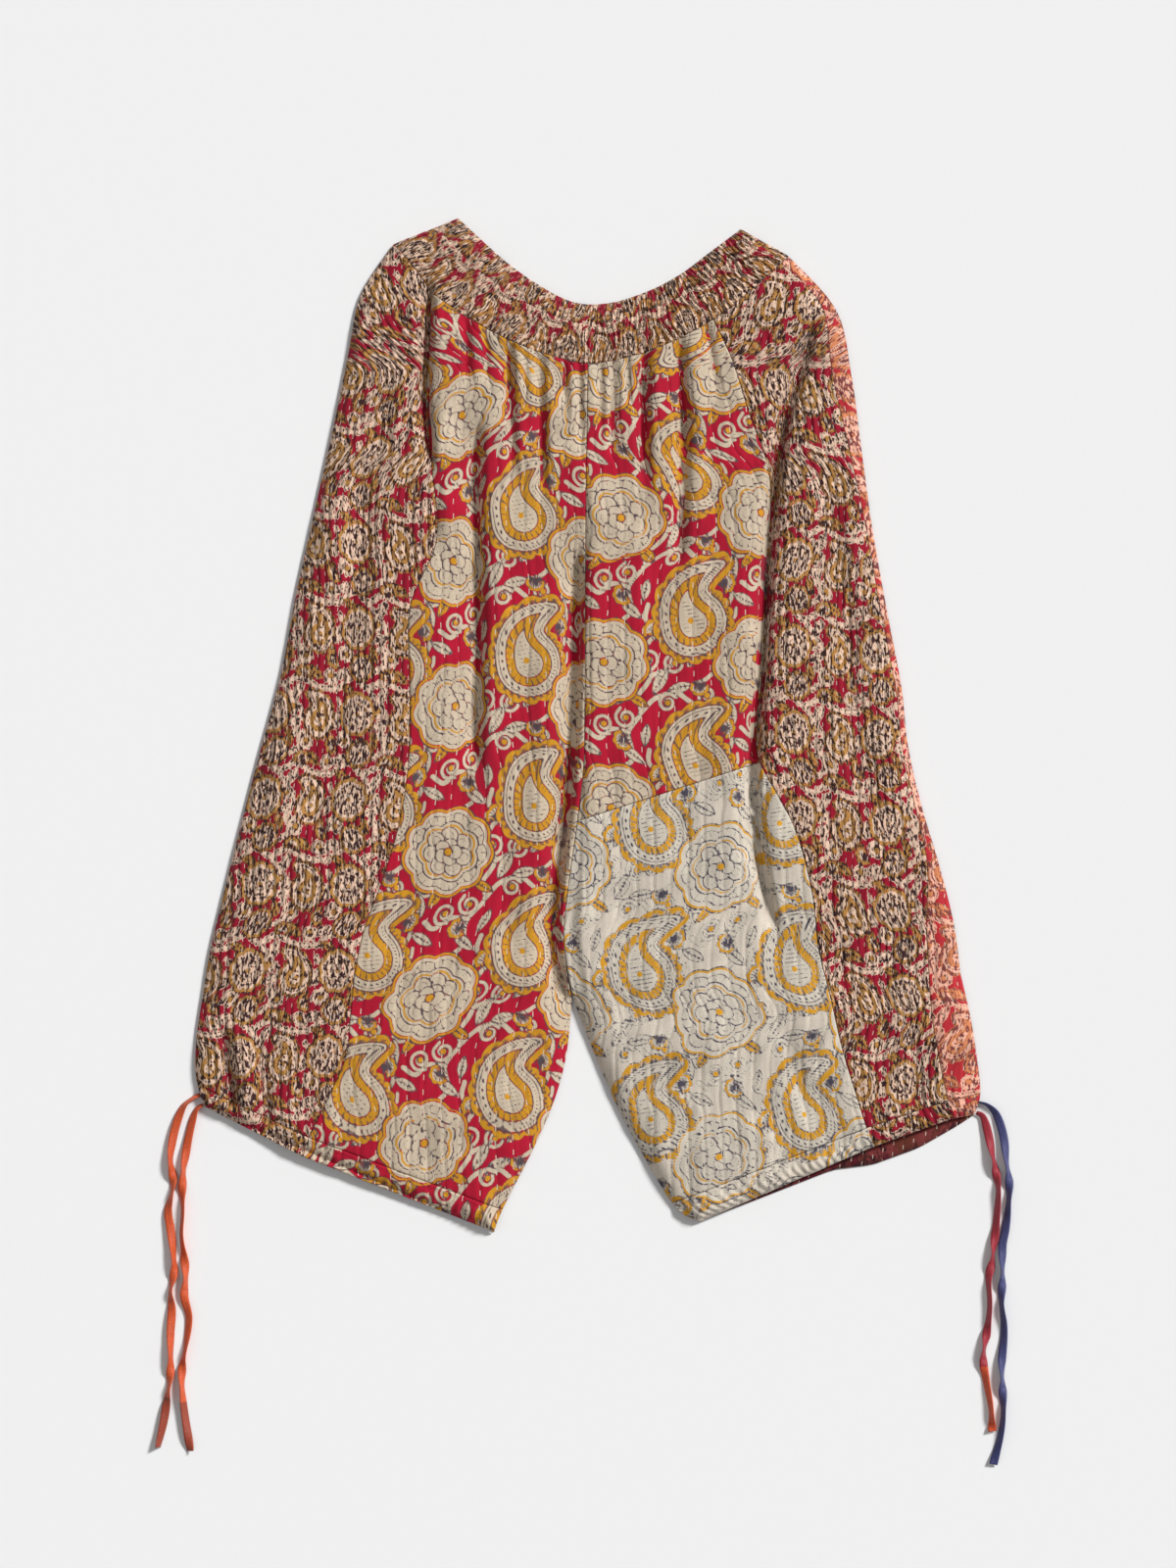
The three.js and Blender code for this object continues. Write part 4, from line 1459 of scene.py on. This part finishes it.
@dataclass(frozen=True)
class RibbonFinish:
    """Thin woven ribbon with a slight sheen.

    Attributes:
        name: name of the material.
        dye: its colour.
        end_dye: colour of its last part.
        change: where the last part starts, as a share of its length, above 1 for never.
    """

    name: str
    dye: tuple[int, int, int]
    end_dye: tuple[int, int, int]
    change: float = 2.0

    def material(self) -> bpy.types.Material:
        """Makes the material.

        Returns:
            The material.
        """
        material = bpy.data.materials.new(self.name)
        material.use_nodes = True
        tree = material.node_tree
        surface = tree.nodes["Principled BSDF"]
        cloth = tree.nodes.new("ShaderNodeAttribute")
        cloth.attribute_name = "cloth"
        split = tree.nodes.new("ShaderNodeSeparateXYZ")
        tree.links.new(cloth.outputs["Vector"], split.inputs[0])
        last = PrintedCotton.math(tree, "GREATER_THAN", split.outputs[2], self.change)
        base = PrintedCotton.mix(tree, last, srgb(*self.dye), srgb(*self.end_dye))
        noise = PrintedCotton.noise(tree, cloth.outputs["Vector"], 0.5, 4)
        tone = tree.nodes.new("ShaderNodeMapRange")
        tone.inputs["To Min"].default_value = 0.55
        tone.inputs["To Max"].default_value = 1.35
        tree.links.new(noise, tone.inputs["Value"])
        tree.links.new(PrintedCotton.mix(tree, 1.0, base, tone.outputs[0], "MULTIPLY"), surface.inputs["Base Color"])
        rib = PrintedCotton.math(tree, "SINE", PrintedCotton.math(tree, "MULTIPLY", split.outputs[1], 7.0))
        tree.links.new(PrintedCotton.bump(tree, rib, 0.4, 0.15), surface.inputs["Normal"])
        surface.inputs["Roughness"].default_value = 0.55
        surface.inputs["Sheen Weight"].default_value = 0.2
        return material


# Section of the ribbon, all round. Columns: across as a share of half the width, up.
RIBBON_SECTION = ((-1, 0.16), (-0.5, 0.24), (0, 0.2), (0.5, 0.24), (1, 0.16), (1, -0.16), (0.5, -0.1), (0, -0.14),
                  (-0.5, -0.1), (-1, -0.16))
MOST_TWIST = 1.12


@dataclass
class Tail:
    """One free end of a drawstring: a flat ribbon that twists as it lies.

    Attributes:
        name: name of the piece.
        node: CAD node it stands for.
        slot: material slot, not used.
        finish: its finish.
        route: points [x, y] from the cuff to the cut end.
        turns: half turns along its length.
        phase: where the twist starts.
        width: width of the ribbon.
        lift: height of its middle.
    """

    name: str
    node: str
    slot: str
    finish: RibbonFinish
    route: tuple[tuple[float, float], ...]
    turns: float
    phase: float
    width: float = 6.8
    lift: float = 2.6

    def build(self) -> bpy.types.Object:
        """Makes the ribbon.

        Returns:
            The piece.
        """
        line = spread(smooth_path(np.array(self.route, float), 8), 260)
        run = np.concatenate([[0], np.cumsum(np.linalg.norm(np.diff(line, axis=0), axis=-1))])
        share = run / run[-1]
        tangent = np.gradient(line, axis=0)
        tangent /= np.linalg.norm(tangent, axis=-1, keepdims=True)
        normal = np.stack([-tangent[:, 1], tangent[:, 0]], -1)
        twist = MOST_TWIST * np.sin(self.phase + math.pi * self.turns * share + 0.7 * np.sin(share * 23 + self.phase))
        half = self.width / 2 * np.minimum(1, 0.55 + share * 8)
        centre = np.column_stack([line, np.maximum(self.lift, half * np.abs(np.sin(twist)) + 0.5)])
        rings = []
        cloth = []
        for across, thick in RIBBON_SECTION:
            side = np.cos(twist) * across * half - np.sin(twist) * thick * 2.2
            up = np.sin(twist) * across * half + np.cos(twist) * thick * 2.2
            rings.append(np.column_stack([centre[:, :2] + normal * side[:, None], centre[:, 2] + up]))
            cloth.append(np.column_stack([across * half, run, share]))
        count = len(RIBBON_SECTION)
        verts = np.stack(rings, 1).reshape(-1, 3)
        verts[:, 2] = np.maximum(verts[:, 2], 0.15)
        verts[:, :2] += CENTRE
        faces = []
        for k in range(len(line) - 1):
            for j in range(count):
                a, b = k * count + j, k * count + (j + 1) % count
                faces.append([a, b, b + count, a + count])
        faces.append(list(range(count))[::-1])
        faces.append([(len(line) - 1) * count + j for j in range(count)])
        mesh = smooth_mesh(self.name, verts, faces, {"cloth": np.stack(cloth, 1).reshape(-1, 3)})
        mesh.materials.append(self.finish.material())
        piece = place(self.name, mesh)
        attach(piece, "root")
        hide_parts(self.node)
        return piece


ORANGE = RibbonFinish("orange ribbon", (204, 78, 26), (150, 54, 24), 0.86)
BLUE = RibbonFinish("blue ribbon", (60, 62, 112), (48, 52, 104), 0.9)
RED = RibbonFinish("red ribbon", (158, 28, 46), (206, 74, 26), 0.8)
TAILS = (
    Tail("left_tail_one", "cord_left_a", "orange_ribbon", ORANGE, (
        (-316.9, -301.6), (-323.8, -304.8), (-331.5, -313), (-338, -332), (-341, -353), (-339, -370), (-340, -382),
        (-343, -396), (-341, -411), (-338.5, -431), (-338, -445), (-341, -461), (-340, -478), (-341, -496),
        (-341, -525), (-344, -551), (-347, -570), (-351.3, -589)), 7.5, 0.3),
    Tail("left_tail_two", "cord_left_b", "orange_ribbon", ORANGE, (
        (-314.4, -309.6), (-319.6, -313.2), (-323.2, -323), (-327, -340), (-330, -360), (-331.5, -380),
        (-331, -397), (-332, -415), (-330, -433), (-328.5, -450), (-329.8, -466), (-326, -484), (-328.9, -508),
        (-331.8, -529), (-329.8, -559), (-324.8, -592)), 6.0, 1.2),
    Tail("right_tail_blue", "cord_right_blue", "blue_ribbon", BLUE, (
        (318.4, -307.6), (325.4, -310.1), (332.5, -318), (338, -334), (341, -357), (343, -374), (342, -393),
        (340, -411), (337.5, -424), (337.5, -438), (337.5, -452), (336.5, -470), (338.5, -487.5), (338.5, -500),
        (337, -519), (337.5, -539), (338, -562), (335.8, -579.5), (330, -603)), 7.0, 0.8),
    Tail("right_tail_red", "cord_right_red", "red_ribbon", RED, (
        (316.1, -316.1), (321.4, -319.2), (324.8, -329), (328.5, -346), (332, -364), (334, -380), (333, -398),
        (331.3, -418), (329, -438), (326, -452), (327, -474), (324.2, -499), (321.8, -517), (324.2, -535),
        (328, -557), (329.2, -576)), 6.5, 1.9),
)


LENS = 85
CAMERA_PLACE = (0.0002, -0.048, 3.022)
FLOOR_HALF = 4
# Columns: name, place in metres, angle in degrees, strength.
LAMPS = (("key", (1.5, 1.25, 1.35), 12.0, 3.75), ("fill", (-1.2, -0.3, 2.0), 60.0, 0.3))


def camera() -> None:
    """Puts the camera straight above the garment."""
    data = bpy.data.cameras.new("camera")
    data.lens = LENS
    data.sensor_width = 36
    obj = place("camera", data)
    obj.location = CAMERA_PLACE
    bpy.context.scene.camera = obj


def studio() -> None:
    """Plain pale floor, soft lamps and an even world."""
    mesh = bpy.data.meshes.new("floor")
    corners = [(x * FLOOR_HALF, y * FLOOR_HALF, 0) for x, y in ((-1, -1), (1, -1), (1, 1), (-1, 1))]
    mesh.from_pydata(corners, [], [(0, 1, 2, 3)])
    floor = place("floor", mesh)
    paper = bpy.data.materials.new("paper")
    paper.use_nodes = True
    paper.node_tree.nodes["Principled BSDF"].inputs["Base Color"].default_value = (0.88, 0.88, 0.88, 1)
    paper.node_tree.nodes["Principled BSDF"].inputs["Roughness"].default_value = 0.9
    mesh.materials.append(paper)
    world = bpy.data.worlds.new("world")
    world.use_nodes = True
    world.node_tree.nodes["Background"].inputs["Color"].default_value = (1, 1, 1, 1)
    world.node_tree.nodes["Background"].inputs["Strength"].default_value = 0.23
    bpy.context.scene.world = world
    for name, spot, angle, strength in LAMPS:
        lamp = bpy.data.lights.new(name, "SUN")
        lamp.angle = math.radians(angle)
        lamp.energy = strength
        obj = place(name, lamp)
        obj.location = spot
        direction = -np.array(spot)
        obj.rotation_euler = (math.atan2(math.hypot(direction[0], direction[1]), -direction[2]), 0,
                              math.atan2(direction[1], direction[0]) - math.pi / 2)
    bpy.context.scene.view_settings.view_transform = "Standard"


PANELS = (
    Panel("side_left_cloth", "side_left", "outL", "seamL", 0, CASING, "sideLeft", SIDE_WAY, "border", (12, 5),
          "side_print", puckers=0.5, gather=1.15),
    Panel("front_left_cloth", "front_left", "seamL", "midL", 0, CASING, "frontLeft", CRIMSON, "main", (22, 6),
          "main_print", puckers=0.12),
    Panel("front_right_cloth", "front_right", "midR", "seamR", 0, CREAM, "frontRight", CRIMSON, "main", (-4, -30),
          "main_print", puckers=0.12),
    Panel("front_right_cream_cloth", "front_right_cream", "midR", "seamR", CREAM, CASING, "strip", CREAM_WAY,
          "main", (34, 20), "cream_print", puckers=0.12),
    Panel("side_right_cloth", "side_right", "seamR", "strip", 0, CASING, "sideRight", SIDE_WAY, "border", (-30, 22),
          "side_print", puckers=0.5, gather=1.15),
    Panel("turned_strip_cloth", "side_strip_right", "strip", "outR", 0, CASING, "strip", SALMON_WAY, "border",
          (6, -14), "back_cloth", puckers=0.3, step=1.2, stride=4),
)
CASINGS = (
    Casing("hem_left_front_cloth", "hem_left_front", (("outL", "seamL", SIDE_WAY, "border"),
           ("seamL", "midL", CRIMSON, "main")), (22, 6), "main_print"),
    Casing("hem_right_front_cloth", "hem_right_front", (("midR", "seamR", CREAM_WAY, "main"),
           ("seamR", "strip", SIDE_WAY, "border"), ("strip", "outR", SALMON_WAY, "border")), (34, 20),
           "cream_print"),
)
BACKS = (
    BackPanel("back_left_cloth", "back_left", "outL", "midL", 0, CASING),
    BackPanel("back_right_cloth", "back_right", "midR", "outR", 0, CASING),
    BackPanel("hem_left_back_cloth", "hem_left_back", "outL", "midL", CASING, HEM),
    BackPanel("hem_right_back_cloth", "hem_right_back", "midR", "outR", CASING, HEM, 1.0),
)


def main() -> None:
    """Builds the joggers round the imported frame."""
    logging.basicConfig(level=logging.INFO, format="%(message)s")
    bpy.ops.wm.read_factory_settings(use_empty=True)
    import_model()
    camera()
    for tail in TAILS:
        tail.build()
    tiles = {"main": main_tile(), "border": border_tile()}
    groups = PrintedCotton()
    shared = {c.name: c.material(groups)
              for c in (CRIMSON, CREAM_WAY, SIDE_WAY, BAND_WAY, SALMON_WAY, SHADED_INSIDE_WAY)}
    drape = Drape()
    for back in BACKS:
        back.build(tiles, shared)
    band = Waistband()
    band.build_back(tiles, shared)
    for panel in PANELS:
        panel.build(drape, tiles, shared)
    for casing in CASINGS:
        casing.build(drape, tiles, shared)
    band.build(drape, tiles, shared)
    studio()


if __name__ == "__main__":
    main()
